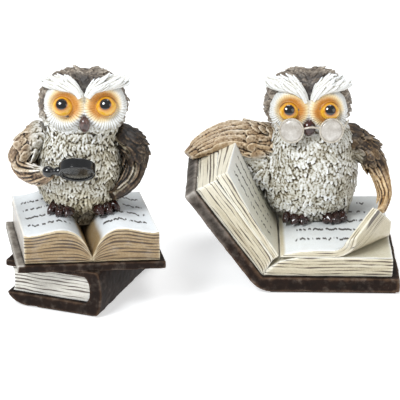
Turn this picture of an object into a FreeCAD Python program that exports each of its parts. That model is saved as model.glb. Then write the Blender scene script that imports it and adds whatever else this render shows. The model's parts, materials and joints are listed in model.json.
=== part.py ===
"""A pair of cast resin book ends: an owl with a magnifying glass on two stacked books, and an owl with spectacles
on a book whose left half leans open. Left and right are as seen from the front. Millimetres, +Z up, +Y to the back."""

import FreeCAD
import Part
import math
import os

V = FreeCAD.Vector

# ---- Driving dimensions -------------------------------------------------------------------------------------------

FELT = 1.2  # felt under each book end
FELT_INSET = 2.5

# Closed book under the first owl: the corner is the front corner beside the spine.
CLOSED_CORNER = (-64.0, -45.0)
CLOSED_TURN = (-19.5, -21.5)  # degrees that its width and its depth are turned by
CLOSED_WIDTH = 64.0
CLOSED_DEPTH = 88.0
CLOSED_LOWER_BOARD = 8.0
CLOSED_PAGES = 18.0
CLOSED_UPPER_BOARD = 4.5
CLOSED_SPINE = 6.0
CLOSED_PAGE_INSET = 3.0

# Open book on top of it: the corner is the front left corner of its page block.
OPEN_CORNER = (-109.5, -42.0)
OPEN_TURN = (4.5, 12.5)
OPEN_WIDTH = 84.6
OPEN_DEPTH = 69.0
OPEN_BOARD = 5.0
OPEN_PAGES = 19.5  # height of the page block at its fore edges
OPEN_HUMP = 3.0  # how much higher the pages stand beside the gutter
OPEN_BOARD_SIDES = (5.0, 3.5)  # the boards' overhang at the left and right
OPEN_BOARD_FRONT = 2.5
OPEN_BOARD_BACK = 1.5

# Leaning book under the second owl: the corner is the spine's front lower corner.
LEAN_CORNER = (38.0, -8.0)
LEAN_TURN = (-1.5, -1.5)
LEAN_ANGLE = 126.0  # the left board's direction, from the flat board
LEAN_DEPTH = 99.0
LEAN_FLAT_BOARD = 10.0
LEAN_FLAT_LENGTH = 92.5
LEAN_TILTED_BOARD = 8.0
LEAN_TILTED_LENGTH = 82.0
LEAN_PAGE_INSET = 3.5
LEAN_STACK = 13.5  # height of the flat page block
LEAN_LEAVES = 5.0  # thickness of the leaves that lie loose on each half
LEAN_LIFT = 25.0  # how far the folded corner of those leaves stands up

# Owls: each is set out from the middle of its body.
LENS_OWL = (-77.0, 8.0)
SPECS_OWL = (76.0, 68.0)
EYE_RADIUS = 6.6
EYE_SPACING = 27.0
LENS_BROW = (0.62, (6.5, 11.6, 13.2, 13.0, 12.8))  # how deep a brow is, and its heights above the eye
SPECS_BROW = (1.0, (7.0, 12.6, 15.8, 15.6, 15.2))

OVAL_SIDES = 12  # facets round a wing

# What they hold and wear.
LENS_RADIUS = 11.5  # the magnifying glass, over its rim
LENS_THICKNESS = 7.0
SPECTACLE_RADIUS = 7.8  # to the middle of the wire
SPECTACLE_WIRE = 0.7

# ---- Helpers ------------------------------------------------------------------------------------------------------


class BookFrame:
    """Turns a book's own width, depth and height into points of the whole pair."""

    def __init__(self, corner, turn):
        self.corner = V(corner[0], corner[1], 0)
        wide, deep = (math.radians(a) for a in turn)
        self.width = V(math.cos(wide), math.sin(wide), 0)
        self.depth = V(-math.sin(deep), math.cos(deep), 0)

    def point(self, u, v, z):
        return self.corner + self.width * u + self.depth * v + V(0, 0, z)

    def prism(self, edges, front, depth):
        """A solid of the closed outline, made by edges(point at depth front), run back by depth."""
        face = Part.Face(Part.Wire(Part.__sortEdges__(edges(lambda u, z: self.point(u, front, z)))))
        return face.extrude(self.depth * depth)

    def box(self, u, v, z):
        """A block between the (low, high) pairs u, v and z."""
        outline = [(u[0], z[0]), (u[1], z[0]), (u[1], z[1]), (u[0], z[1])]
        return self.prism(lambda at: lines([at(*p) for p in outline]), v[0], v[1] - v[0])


def lines(points):
    """Straight edges round a closed outline."""
    return [Part.makeLine(a, b) for a, b in zip(points, points[1:] + points[:1])]


def curve(points):
    """One smooth edge through the points."""
    spline = Part.BSplineCurve()
    spline.interpolate(points)
    return spline.toShape()


def dish(centre, along, half_length, radius):
    """A flat round cushion that faces along: two shallow domes on a low rim."""
    rim = half_length * 0.3
    ball = (radius**2 + (half_length - rim) ** 2) / (2 * (half_length - rim))
    half = radius / 2
    swell = half_length - ball + math.sqrt(ball**2 - half**2)
    outline = [
        Part.Arc(V(0, 0, half_length), V(half, 0, swell), V(radius, 0, rim)).toShape(),
        Part.makeLine(V(radius, 0, rim), V(radius, 0, -rim)),
        Part.Arc(V(radius, 0, -rim), V(half, 0, -swell), V(0, 0, -half_length)).toShape(),
        Part.makeLine(V(0, 0, -half_length), V(0, 0, half_length)),
    ]
    shape = Part.Face(Part.Wire(outline)).revolve(V(0, 0, 0), V(0, 0, 1), 360).Solids[0]
    shape.Placement = FreeCAD.Placement(V(*centre), FreeCAD.Rotation(V(0, 0, 1), V(*along)))
    return shape


def drop(start, end, start_radius, end_radius):
    """A bar with a ball at each end, tapering from one ball to the other."""
    start, end = V(*start), V(*end)
    length = (end - start).Length
    k = math.sqrt(0.5)
    a, b = start_radius, end_radius
    outline = [
        Part.Arc(V(0, 0, -a), V(a * k, 0, -a * k), V(a, 0, 0)).toShape(),
        Part.makeLine(V(a, 0, 0), V(b, 0, length)),
        Part.Arc(V(b, 0, length), V(b * k, 0, length + b * k), V(0, 0, length + b)).toShape(),
        Part.makeLine(V(0, 0, length + b), V(0, 0, -a)),
    ]
    shape = Part.Face(Part.Wire(outline)).revolve(V(0, 0, 0), V(0, 0, 1), 360).Solids[0]
    shape.Placement = FreeCAD.Placement(start, FreeCAD.Rotation(V(0, 0, 1), end - start))
    return shape


def owl_trunk(centre, floor, waist, neck, radius):
    """A full-breasted trunk of revolution, cut flat at the neck, on a narrower foot that reaches down to floor."""
    x, y = centre
    tall = neck - waist
    side = curve(
        [
            V(radius * 0.74, 0, waist),
            V(radius * 0.92, 0, waist + tall * 0.15),
            V(radius, 0, waist + tall * 0.43),
            V(radius * 0.94, 0, waist + tall * 0.73),
            V(radius * 0.76, 0, neck),
        ]
    )
    foot = radius * 0.55
    outline = [V(radius * 0.76, 0, neck), V(0, 0, neck), V(0, 0, floor), V(foot, 0, floor), V(foot, 0, waist)]
    outline.append(V(radius * 0.74, 0, waist))
    edges = [side] + [Part.makeLine(p, q) for p, q in zip(outline, outline[1:])]
    shape = Part.Face(Part.Wire(Part.__sortEdges__(edges))).revolve(V(0, 0, 0), V(0, 0, 1), 360)
    shape = Part.Solid(shape.Shells[0])
    shape.translate(V(x, y, 0))
    return shape


def below_plane(z):
    """Everything under the height z."""
    return Part.makeBox(800, 800, 400, V(-400, -400, z - 400))


def blade(stations):
    """A closed loft through flat oval sections. Each is (centre, half width, half thickness, width direction)."""
    centres = [V(*s[0]) for s in stations]
    wires = []
    for i, (_, half_width, half_thick, across) in enumerate(stations):
        along = (centres[min(i + 1, len(centres) - 1)] - centres[max(i - 1, 0)]).normalize()
        wide = V(*across)
        wide = (wide - along * wide.dot(along)).normalize() * half_width
        thin = along.cross(wide).normalize() * half_thick
        angles = [2 * math.pi * k / OVAL_SIDES for k in range(OVAL_SIDES)]
        wires.append(Part.Wire(lines([centres[i] + wide * math.cos(a) + thin * math.sin(a) for a in angles])))
    return Part.makeLoft(wires, True, False)


def rod(start, end, radius):
    """A round bar between two points."""
    start, end = V(*start), V(*end)
    return Part.makeCylinder(radius, (end - start).Length, start, end - start)


def trim(shape, *others):
    """shape without what the others fill, as its largest solid."""
    for other in others:
        shape = shape.cut(other)
    return max(shape.Solids, key=lambda s: s.Volume)


# ---- Books --------------------------------------------------------------------------------------------------------


def closed_book(parts):
    """A book lying shut: a wrap-round cover with a rounded spine, its page block, and felt under it."""
    frame = BookFrame(CLOSED_CORNER, CLOSED_TURN)
    low = FELT + CLOSED_LOWER_BOARD
    high = low + CLOSED_PAGES
    top = high + CLOSED_UPPER_BOARD
    bulge = 2.0

    def cover_outline(at):
        spine = Part.Arc(at(0, FELT + 3), at(bulge, (FELT + top) / 2), at(0, top - 1)).toShape()
        corner = Part.Arc(at(-4, FELT), at(-1, FELT + 0.8), at(0, FELT + 3)).toShape()
        inner = Part.Arc(at(-CLOSED_SPINE - 3, high), at(-CLOSED_SPINE, (low + high) / 2), at(-CLOSED_SPINE - 3, low))
        tip = Part.Arc(at(-CLOSED_WIDTH, low - 0.5), at(-CLOSED_WIDTH + 4, FELT + 3), at(-CLOSED_WIDTH + 18, FELT))
        outline = [
            at(0, top - 1), at(-1, top), at(-CLOSED_WIDTH, top), at(-CLOSED_WIDTH, high), at(-CLOSED_SPINE - 3, high),
        ]
        return [
            spine,
            corner,
            inner.toShape(),
            tip.toShape(),
            *[Part.makeLine(a, b) for a, b in zip(outline, outline[1:])],
            Part.makeLine(at(-CLOSED_SPINE - 3, low), at(-CLOSED_WIDTH, low)),
            Part.makeLine(at(-CLOSED_WIDTH, low), at(-CLOSED_WIDTH, low - 0.5)),
            Part.makeLine(at(-CLOSED_WIDTH + 18, FELT), at(-4, FELT)),
        ]

    def pages_outline(at):
        inner = Part.Arc(at(-CLOSED_SPINE - 3, high), at(-CLOSED_SPINE, (low + high) / 2), at(-CLOSED_SPINE - 3, low))
        hollow = Part.Arc(
            at(-CLOSED_WIDTH + 3, high), at(-CLOSED_WIDTH + 4.5, (low + high) / 2), at(-CLOSED_WIDTH + 3, low)
        )
        return [
            inner.toShape(),
            hollow.toShape(),
            Part.makeLine(at(-CLOSED_SPINE - 3, high), at(-CLOSED_WIDTH + 3, high)),
            Part.makeLine(at(-CLOSED_SPINE - 3, low), at(-CLOSED_WIDTH + 3, low)),
        ]

    parts["lens_lower_cover"] = frame.prism(cover_outline, 0, CLOSED_DEPTH)
    parts["lens_lower_pages"] = frame.prism(
        pages_outline, CLOSED_PAGE_INSET, CLOSED_DEPTH - 2 * CLOSED_PAGE_INSET
    )
    parts["lens_felt_pad"] = frame.box(
        (-CLOSED_WIDTH + 20, -5), (FELT_INSET, CLOSED_DEPTH - FELT_INSET), (0, FELT)
    )
    return top


def open_book(parts, base):
    """A book lying open flat: its cover, and a page block each side of the gutter. Returns the pages' height."""
    frame = BookFrame(OPEN_CORNER, OPEN_TURN)
    low = base + OPEN_BOARD
    high = low + OPEN_PAGES
    middle = OPEN_WIDTH / 2
    parts["lens_upper_cover"] = frame.box(
        (-OPEN_BOARD_SIDES[0], OPEN_WIDTH + OPEN_BOARD_SIDES[1]),
        (-OPEN_BOARD_FRONT, OPEN_DEPTH + OPEN_BOARD_BACK),
        (base, low),
    )

    def block_outline(sign):
        def outline(at):
            gutter = at(middle, low)
            valley = at(middle, low + 3)
            fore_low = at(middle - sign * middle, low)
            fore_high = at(middle - sign * middle, high)
            top = curve(
                [
                    fore_high,
                    at(middle - sign * 28, high + 1.6),
                    at(middle - sign * 16, high + OPEN_HUMP),
                    at(middle - sign * 7, high - 2.5),
                    at(middle - sign * 2, low + 8),
                    valley,
                ]
            )
            return [
                top,
                Part.makeLine(valley, gutter),
                Part.makeLine(gutter, fore_low),
                Part.makeLine(fore_low, fore_high),
            ]

        return outline

    parts["lens_upper_pages_left"] = frame.prism(block_outline(1), 0, OPEN_DEPTH)
    parts["lens_upper_pages_right"] = frame.prism(block_outline(-1), 0, OPEN_DEPTH)
    return high


def leaning_book(parts):
    """A book standing open with its left board leaning out: cover, two page blocks, and the loose leaves on each."""
    frame = BookFrame(LEAN_CORNER, LEAN_TURN)
    lean = math.radians(LEAN_ANGLE)
    along = (math.cos(lean), math.sin(lean))
    inward = (math.sin(lean), -math.cos(lean))
    low = FELT + LEAN_FLAT_BOARD
    high = low + LEAN_STACK
    pages_end = LEAN_FLAT_LENGTH - 5.0
    pages_depth = LEAN_DEPTH - LEAN_PAGE_INSET - 1.0

    def tilted(s, t):
        """A point s up the left board and t in from that board's inner face."""
        t = t + LEAN_TILTED_BOARD
        return along[0] * s + inward[0] * t, FELT + along[1] * s + inward[1] * t

    def prism(points):
        return frame.prism(lambda at: lines([at(*p) for p in points]), LEAN_PAGE_INSET, pages_depth)

    def twisted(front, back):
        """Like prism, but with another outline at the back."""
        ends = ((front, LEAN_PAGE_INSET), (back, LEAN_PAGE_INSET + pages_depth))
        wires = [Part.Wire(lines([frame.point(u, v, z) for u, z in points])) for points, v in ends]
        return Part.makeLoft(wires, True, True)

    crease_s = (low - FELT - inward[1] * LEAN_TILTED_BOARD) / along[1]
    crease = tilted(crease_s, 0)

    def cover_outline(at):
        outer_low = tilted(9, -LEAN_TILTED_BOARD)
        corner = Part.Arc(at(7, FELT), at(0.6, FELT + 2.2), at(*outer_low)).toShape()
        outline = [outer_low, tilted(LEAN_TILTED_LENGTH, -LEAN_TILTED_BOARD), tilted(LEAN_TILTED_LENGTH, 0), crease]
        outline += [(LEAN_FLAT_LENGTH, low), (LEAN_FLAT_LENGTH, FELT), (7, FELT)]
        return [corner] + [Part.makeLine(at(*a), at(*b)) for a, b in zip(outline, outline[1:])]

    parts["specs_cover"] = frame.prism(cover_outline, 0, LEAN_DEPTH)
    parts["specs_felt_pad"] = frame.box(
        (8, LEAN_FLAT_LENGTH - FELT_INSET), (FELT_INSET, LEAN_DEPTH - FELT_INSET), (0, FELT)
    )

    # Left half: the block on the leaning board, and the leaves that fan off it towards the top, most at the back.
    gutter = (crease[0] + 3.0, low + 4.5)
    root = tilted(11.7, 16.9)
    shelf = [tilted(s, t) for s, t in ((11.5, 11.8), (16, 12.8), (26, 13.2), (42, 13.6), (60, 14.2))]
    block_top = tilted(78.5, 14.4)
    leaves = [tilted(s, t) for s, t in ((15, 17.3), (22, 17.5), (32, 17.8), (46, 19.2), (62, 21.2), (79, 23.8))]
    leaves_back = [tilted(s, t) for s, t in ((15, 17.3), (22, 18), (32, 20), (46, 23.5), (62, 28), (74, 30.5))]
    board_end = tilted(80.3, 0)
    parts["specs_pages_left"] = prism([crease, gutter] + shelf + [block_top, board_end])
    parts["specs_leaves_left"] = twisted(
        [root] + leaves + [tilted(80.5, 15.6)] + shelf[::-1], [root] + leaves_back + [tilted(77, 15.6)] + shelf[::-1]
    )

    # Right half: the flat block, and the leaves on it whose front corner is folded up.
    valley = (root[0] + 1.0, high - 3.0)
    slope = (root[0] + 13.0, high)
    parts["specs_pages_right"] = prism([crease, (pages_end, low), (pages_end, high), slope, valley, gutter])
    top = high + LEAN_LEAVES
    reach = prism(
        [valley, slope, (pages_end, high), (pages_end, top + LEAN_LIFT), (root[0] + 26, top + LEAN_LIFT)]
        + [(root[0] + 26, top), (root[0] + 14, top - 0.6), (root[0] + 5, top - 2.6), (root[0] + 0.6, high + 0.2)]
    )
    parts["specs_leaves_right"] = folded_leaves(frame, high, reach)
    return top


def folded_leaves(frame, low, reach):
    """Leaves lying at the height low with a corner curled up about a slanting fold, cut to the room they fill."""
    start = frame.point(47.0, LEAN_PAGE_INSET, 0)
    end = frame.point(LEAN_FLAT_LENGTH - 5.0, 45.0, 0)
    fold = (end - start).normalize()
    out = V(fold.y, -fold.x, 0)
    inner, outer = 6.0, 6.0 + LEAN_LEAVES
    turn = math.radians(80.0)
    hub = low + outer

    def at(n, z):
        return start + fold * -60 + out * n + V(0, 0, z)

    def on_arc(radius, angle):
        return at(math.sin(angle) * radius, hub - math.cos(angle) * radius)

    rise = V(0, 0, math.sin(turn)) * 30 + out * math.cos(turn) * 30
    edges = [
        Part.Arc(on_arc(outer, 0), on_arc(outer, turn / 2), on_arc(outer, turn)).toShape(),
        Part.makeLine(on_arc(outer, turn), on_arc(outer, turn) + rise),
        Part.makeLine(on_arc(outer, turn) + rise, on_arc(inner, turn) + rise),
        Part.makeLine(on_arc(inner, turn) + rise, on_arc(inner, turn)),
        Part.Arc(on_arc(inner, turn), on_arc(inner, turn / 2), on_arc(inner, 0)).toShape(),
        Part.makeLine(on_arc(inner, 0), at(-120, low + LEAN_LEAVES)),
        Part.makeLine(at(-120, low + LEAN_LEAVES), at(-120, low)),
        Part.makeLine(at(-120, low), on_arc(outer, 0)),
    ]
    sheet = Part.Face(Part.Wire(Part.__sortEdges__(edges))).extrude(fold * 200)
    # Seen square to the fold, the curled part is a triangle whose top is the leaves' corner.
    length = (end - start).Length
    flat = low + LEAN_LEAVES
    corner = start + fold * (length * 0.49) + V(0, 0, flat + LEAN_LIFT)
    outline = [
        start + fold * -120 + V(0, 0, low - 1),
        start + fold * -120 + V(0, 0, flat),
        start + V(0, 0, flat),
        corner,
        end + fold * 1.0 + V(0, 0, flat),
        end + fold * 200 + V(0, 0, flat),
        end + fold * 200 + V(0, 0, low - 1),
    ]
    outline = [point + out * -150 for point in outline]
    room = Part.Face(Part.Wire(lines(outline))).extrude(out * 300)
    return trim(sheet.common(reach).common(room))


# ---- Owls ---------------------------------------------------------------------------------------------------------


def owl_face(parts, name, centre, eye_height, beak_size, brow_shape):
    """Facial discs, brows, eyes and beak in front of the head."""
    x, front = centre
    head = parts[f"{name}_owl_head"]
    discs = {}
    for side, sign in (("left", -1), ("right", 1)):
        eye = Part.makeSphere(EYE_RADIUS, V(x + sign * EYE_SPACING / 2, front + 0.4, eye_height), V(0, -1, 0))
        disc = dish((x + sign * 13.6, front + 3.6, eye_height - 0.6), (sign * 0.22, -1, 0), 7.0, 15.4)
        half = Part.makeBox(60, 60, 60, V(x if sign > 0 else x - 60, front - 30, eye_height - 30))
        discs[side] = trim(disc.common(half), head, eye, parts[f"{name}_owl_body"])
        brow = owl_brow((x, front, eye_height), sign, *brow_shape)
        parts[f"{name}_owl_face_{side}"] = discs[side]
        parts[f"{name}_owl_eye_{side}"] = trim(eye, head)
        parts[f"{name}_owl_brow_{side}"] = trim(brow, head, discs[side], eye)
    radius, length = beak_size
    beak = drop((x, front - 1.4, eye_height - 10.4), (x, front - 2.6, eye_height - 10.4 - length), radius, 1.6)
    parts[f"{name}_owl_beak"] = trim(beak, head, *discs.values())


def owl_brow(centre, sign, deep, heights):
    """A tuft that rises from beside the beak, arches over the eye and runs out to a point at the ear. deep scales its
    depth from top to bottom, and heights are those of its middle line above the eye. A shallow one stands further
    forward, clear of the disc."""
    x, y, z = centre
    y = y - 10 * (1 - deep)
    return blade(
        [
            ((x + sign * 2.2, y + 0.5, z + heights[0]), 2.6 * deep, 1.8, (0, 1, 0.3)),
            ((x + sign * 6.0, y + 2.4, z + heights[1]), 5.6 * deep, 3.0, (0, 1, 0.3)),
            ((x + sign * 12.5, y + 5.4, z + heights[2]), 7.6 * deep, 3.4, (0, 1, 0.25)),
            ((x + sign * 20.5, y + 9.0, z + heights[3]), 6.4 * deep, 3.0, (0, 1, 0.15)),
            ((x + sign * 27.5, y + 12.0, z + heights[4]), 3.0 * deep, 1.7, (0, 1, 0.1)),
        ]
    )


def owl_foot(centre, turn, trunk):
    """Three toes side by side, in front of the trunk."""
    toes = []
    for step in (-1, 0, 1):
        back = abs(step) * 1.6
        toes.append(drop((step * 4.6, back + 5.0, 3.6), (step * 6.4, back - 3.4, 2.8), 3.4, 2.6))
    foot = toes[0].fuse(toes[1:])
    foot.rotate(V(0, 0, 0), V(0, 0, 1), turn)
    foot.translate(V(*centre))
    return trim(foot, trunk)


def lens_owl(parts, seat):
    """The owl that holds the magnifying glass. seat is the height of the page edges that it stands among."""
    x, y = LENS_OWL
    neck = seat + 52.0
    crown = seat + OPEN_HUMP + 0.1
    body = owl_trunk((x, y), seat - 8.0, crown, neck, 27.5)
    for side in ("left", "right"):
        pages = parts[f"lens_upper_pages_{side}"]
        parts[f"lens_upper_pages_{side}"] = trim(pages, body)
    parts["lens_owl_body"] = body
    head = drop((x - 2.0, y - 1, seat + 69.7), (x + 8.0, y - 1, seat + 69.7), 22.3, 22.3)
    parts["lens_owl_head"] = trim(head, below_plane(neck))
    owl_face(parts, "lens", (x + 5.6, y - 23.0), seat + 75.5, (3.6, 3.6), LENS_BROW)
    magnifier(parts, V(x + 1.0, y - 37.8, seat + 39.2))
    wing_left = blade(
        [
            ((x - 21, y + 1, seat + 52), 9, 5.0, (0.2, 1, 0)),
            ((x - 31, y + 0, seat + 44), 15, 7.0, (0.1, 1, 0)),
            ((x - 34, y - 3, seat + 35), 15, 7.0, (0.1, 1, -0.2)),
            ((x - 31.5, y - 13, seat + 29), 12, 6.0, (0.5, 1, -0.5)),
            ((x - 24, y - 25, seat + 30), 7, 4.6, (0.9, 0.3, -0.8)),
            ((x - 16, y - 33, seat + 34.5), 3.5, 2.8, (0.6, 0.1, -1)),
        ]
    )
    wing_right = blade(
        [
            ((x + 23, y + 1, seat + 51), 9, 5.0, (-0.2, 1, 0)),
            ((x + 33, y + 1, seat + 42), 14, 7.0, (-0.1, 1, 0)),
            ((x + 35, y - 2, seat + 30), 13, 6.4, (-0.1, 1, -0.2)),
            ((x + 30, y - 11, seat + 20), 10, 5.2, (-0.5, 1, -0.5)),
            ((x + 21.0, y - 21.0, seat + 15), 4, 3.0, (-0.5, 1, -0.5)),
        ]
    )
    head = parts["lens_owl_head"]
    parts["lens_owl_wing_left"] = trim(wing_left, body, head, parts["magnifier_handle"], parts["magnifier_rim"])
    parts["lens_owl_wing_right"] = trim(wing_right, body, head)
    parts["lens_owl_foot_left"] = owl_foot((x - 11.0, y - 23.4, crown), -18, body)
    parts["lens_owl_foot_right"] = owl_foot((x + 17.0, y - 19.8, crown), 34, body)
    tail = drop((x + 1, y + 22.0, seat + 27.0), (x + 1, y + 26.0, seat + 11.0), 8.0, 6.5)
    parts["lens_owl_tail"] = trim(tail, body)


def magnifier(parts, hub):
    """A thick round rim about its glass, facing forward and down, with a short handle to the left."""
    axis = V(0.0, -0.695, -0.719)
    drum = Part.makeCylinder(LENS_RADIUS, LENS_THICKNESS, hub - axis * (LENS_THICKNESS / 2), axis)
    bore = Part.makeCylinder(LENS_RADIUS - 2.0, LENS_THICKNESS, hub - axis * (LENS_THICKNESS / 2), axis)
    parts["magnifier_rim"] = drum.cut(bore)
    parts["magnifier_glass"] = Part.makeCylinder(LENS_RADIUS - 2.0, 3.0, hub - axis * 1.5, axis)
    handle = rod((hub.x - 10.0, hub.y, hub.z - 1.0), (hub.x - 20.5, hub.y + 1.0, hub.z - 1.5), 3.5)
    parts["magnifier_handle"] = trim(handle, drum)


def specs_owl(parts, seat):
    """The owl that wears spectacles, sitting at the back of the leaning book."""
    x, y = SPECS_OWL
    neck = seat + 63.0
    body = owl_trunk((x - 1, y - 2), seat - LEAN_LEAVES, seat + 0.1, neck, 31.5)
    for name in ("specs_leaves_right", "specs_leaves_left"):
        parts[name] = trim(parts[name], body)
    book = [parts[n] for n in ("specs_cover", "specs_pages_left", "specs_leaves_left")]
    parts["specs_owl_body"] = body
    head = drop((x - 9.5, y - 3, seat + 77.5), (x + 1.9, y - 3, seat + 77.5), 22.6, 22.6)
    head = trim(head, below_plane(neck))
    parts["specs_owl_head"] = head
    owl_face(parts, "specs", (x - 4.2, y - 25.0), seat + 78.5, (4.2, 3.4), SPECS_BROW)
    spectacles(parts, (x - 2.8, y - 32.2, seat + 67.5))
    wing_left = blade(
        [
            ((x - 22, y + 1, seat + 43), 14, 12.0, (0, 1, 0.1)),
            ((x - 38, y + 0, seat + 48), 15, 9.0, (0, 1, 0.15)),
            ((x - 56, y - 4, seat + 53), 14, 5.0, (0, 1, 0.2)),
            ((x - 72, y - 7, seat + 48.5), 13, 3.6, (0.1, 1, 0.2)),
            ((x - 84, y - 12, seat + 42.5), 8, 2.2, (0.2, 1, 0.2)),
        ]
    )
    wing_right = blade(
        [
            ((x + 20, y + 1, seat + 52), 11, 8.0, (0, 1, 0.1)),
            ((x + 34, y - 1, seat + 45), 13, 7.4, (-0.1, 1, 0)),
            ((x + 44.5, y - 9, seat + 32), 10, 5.4, (-0.1, 1, -0.1)),
            ((x + 48.0, y - 24, seat + 20), 7.0, 3.6, (-0.1, 1, -0.2)),
            ((x + 43.5, y - 39, seat + 12.5), 3.4, 2.6, (-0.2, 1, -0.3)),
        ]
    )
    parts["specs_owl_wing_left"] = trim(wing_left, body, head, *book)
    parts["specs_owl_wing_right"] = trim(wing_right, body, head, parts["specs_leaves_right"])
    parts["specs_owl_foot_left"] = owl_foot((x - 11.5, y - 27.8, seat + 0.1), -6, body)
    parts["specs_owl_foot_right"] = owl_foot((x + 14.5, y - 26.6, seat + 0.1), 10, body)
    tail = drop((x - 1, y + 24.5, seat + 25.0), (x - 1, y + 26.0, seat + 9.0), 8.5, 7.0)
    parts["specs_owl_tail"] = trim(tail, body)


def spectacles(parts, centre):
    """Two round lenses in wire rims, joined by a bridge over the beak, with a short arm to the head at each side."""
    x, y, z = centre
    wire = SPECTACLE_WIRE
    pieces = []
    for side, sign in (("left", -1), ("right", 1)):
        hub = V(x + sign * 13.2, y, z)
        facing = V(sign * 0.18, -1.0, 0.2).normalize()
        rim = Part.makeTorus(SPECTACLE_RADIUS, wire, hub, facing)
        lens = Part.makeCylinder(SPECTACLE_RADIUS, 1.0, hub - facing * 0.5, facing)
        face = [parts[f"specs_owl_face_{side}"], parts[f"specs_owl_eye_{side}"]]
        parts[f"spectacle_lens_{side}"] = trim(lens.cut(rim), *face)
        arm = rod((hub.x + sign * 7.6, hub.y + 1.0, z + 1.0), (hub.x + sign * 13.0, hub.y + 14.0, z + 4.0), wire)
        pieces += [rim, arm]
    pieces.append(rod((x - 5.8, y, z + 1.0), (x + 5.8, y, z + 1.0), wire))
    taken = [parts[f"specs_owl_{n}"] for n in ("head", "face_left", "face_right", "eye_left", "eye_right", "beak")]
    taken += [parts["spectacle_lens_left"], parts["spectacle_lens_right"]]
    parts["spectacle_frame"] = trim(pieces[0].fuse(pieces[1:]), *taken)


# ---- Whole pair ---------------------------------------------------------------------------------------------------


def build():
    parts = {}
    top = closed_book(parts)
    seat = open_book(parts, top)
    lens_owl(parts, seat)
    seat = leaning_book(parts)
    specs_owl(parts, seat)
    return parts


def centred(parts):
    """The parts moved so that the origin is at the middle of the whole pair's footprint."""
    boxes = [shape.optimalBoundingBox(False) for shape in parts.values()]
    middle_x = (min(b.XMin for b in boxes) + max(b.XMax for b in boxes)) / 2
    middle_y = (min(b.YMin for b in boxes) + max(b.YMax for b in boxes)) / 2
    shift = V(-middle_x, -middle_y, -min(b.ZMin for b in boxes))
    for shape in parts.values():
        shape.translate(shift)
    return parts


def main():
    os.makedirs("parts", exist_ok=True)
    for name, shape in centred(build()).items():
        shape.exportStep(f"parts/{name}.step")
        box = shape.optimalBoundingBox(False)
        print(f"{name:26s} solids {len(shape.Solids)} valid {shape.isValid()} volume {shape.Volume:9.1f}"
              f"  {box.XLength:6.1f} {box.YLength:6.1f} {box.ZLength:6.1f}")


main()
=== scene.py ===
"""The look of a pair of cast resin owl book ends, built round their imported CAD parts. Shapes are worked out in
millimetres in the row frame and turned to metres when each piece is finished. Left and right are as seen from
the front."""

import json
import math

import bpy
import numpy as np
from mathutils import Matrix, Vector
from mathutils.bvhtree import BVHTree
from mathutils.kdtree import KDTree

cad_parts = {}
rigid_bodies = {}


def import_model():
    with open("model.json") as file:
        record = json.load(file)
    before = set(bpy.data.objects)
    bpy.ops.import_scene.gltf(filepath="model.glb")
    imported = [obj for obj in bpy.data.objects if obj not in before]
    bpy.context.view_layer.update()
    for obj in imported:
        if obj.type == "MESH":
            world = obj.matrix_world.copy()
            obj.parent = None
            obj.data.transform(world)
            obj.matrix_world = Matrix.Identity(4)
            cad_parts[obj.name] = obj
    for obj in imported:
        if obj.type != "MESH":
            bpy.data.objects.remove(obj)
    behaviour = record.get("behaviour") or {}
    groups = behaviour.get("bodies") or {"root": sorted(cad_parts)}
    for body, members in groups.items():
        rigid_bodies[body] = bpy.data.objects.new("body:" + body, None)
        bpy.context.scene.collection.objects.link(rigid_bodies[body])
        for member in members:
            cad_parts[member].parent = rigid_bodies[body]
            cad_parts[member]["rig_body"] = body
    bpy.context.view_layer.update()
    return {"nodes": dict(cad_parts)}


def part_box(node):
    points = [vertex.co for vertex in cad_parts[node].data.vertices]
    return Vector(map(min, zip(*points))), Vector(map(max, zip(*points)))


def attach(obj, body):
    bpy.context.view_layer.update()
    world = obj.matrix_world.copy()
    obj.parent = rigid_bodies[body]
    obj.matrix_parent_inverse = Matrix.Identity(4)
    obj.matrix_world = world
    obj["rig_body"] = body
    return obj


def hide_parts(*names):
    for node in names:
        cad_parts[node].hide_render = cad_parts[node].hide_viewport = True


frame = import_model()

MM, MM_PER_M = 0.001, 1000.0
SIGN = {"left": -1, "right": 1}
GOLDEN_ANGLE = 2.39996
LIMITS = {"relief": (-1, 1), "zone": (0, 1), "patch": (0, 1)}

# ---- Points, noise and meshes ----


def unit(v):
    v = np.asarray(v, float)
    return v / (np.linalg.norm(v, axis=-1, keepdims=True) + 1e-12)


def node_box(node):
    lo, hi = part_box(node)
    return np.array(lo) * MM_PER_M, np.array(hi) * MM_PER_M


def centre_of(node):
    lo, hi = node_box(node)
    return (lo + hi) / 2


def ramp(x, a, b):
    """0 below a, 1 above b, smooth between."""
    t = np.clip((np.asarray(x, float) - a) / (b - a), 0, 1)
    return t * t * (3 - 2 * t)


def window(x, a, b):
    """1 between a and b, falling to 0 within a millimetre inside them."""
    return ramp(x, a, a + 1) * ramp(b - x, 0, 1)


def scrambled(x):
    """The last digits of a large multiple of sin(x), which look random, in 0..1."""
    h = np.sin(x) * 4375.85
    return h - np.floor(h)


def noise(p, size, seed=0):
    """Smooth noise in -1..1 at the points, with features of that size."""
    q = np.asarray(p, float) / size + np.array([17.3, 5.1, 9.7]) * (seed + 1)
    whole = np.floor(q)
    f = q - whole
    f = f * f * (3 - 2 * f)
    total = np.zeros(len(q))
    for corner in range(8):
        o = np.array([corner & 1, corner >> 1 & 1, corner >> 2 & 1])
        h = scrambled((whole + o) @ np.array([12.71, 31.17, 7.47]))
        total += np.prod(np.where(o, f, 1 - f), axis=1) * (2 * h - 1)
    return total


def chance(index, seed=0):
    """A fixed random number in 0..1 for each whole number."""
    return scrambled(np.asarray(index, float) * 127.1 + seed * 31.7 + 3.3)


def points_of(me):
    co = np.empty(len(me.vertices) * 3)
    me.vertices.foreach_get("co", co)
    return co.reshape(-1, 3)


def corners_of(me):
    index = np.empty(len(me.loops), int)
    me.loops.foreach_get("vertex_index", index)
    return index


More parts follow.
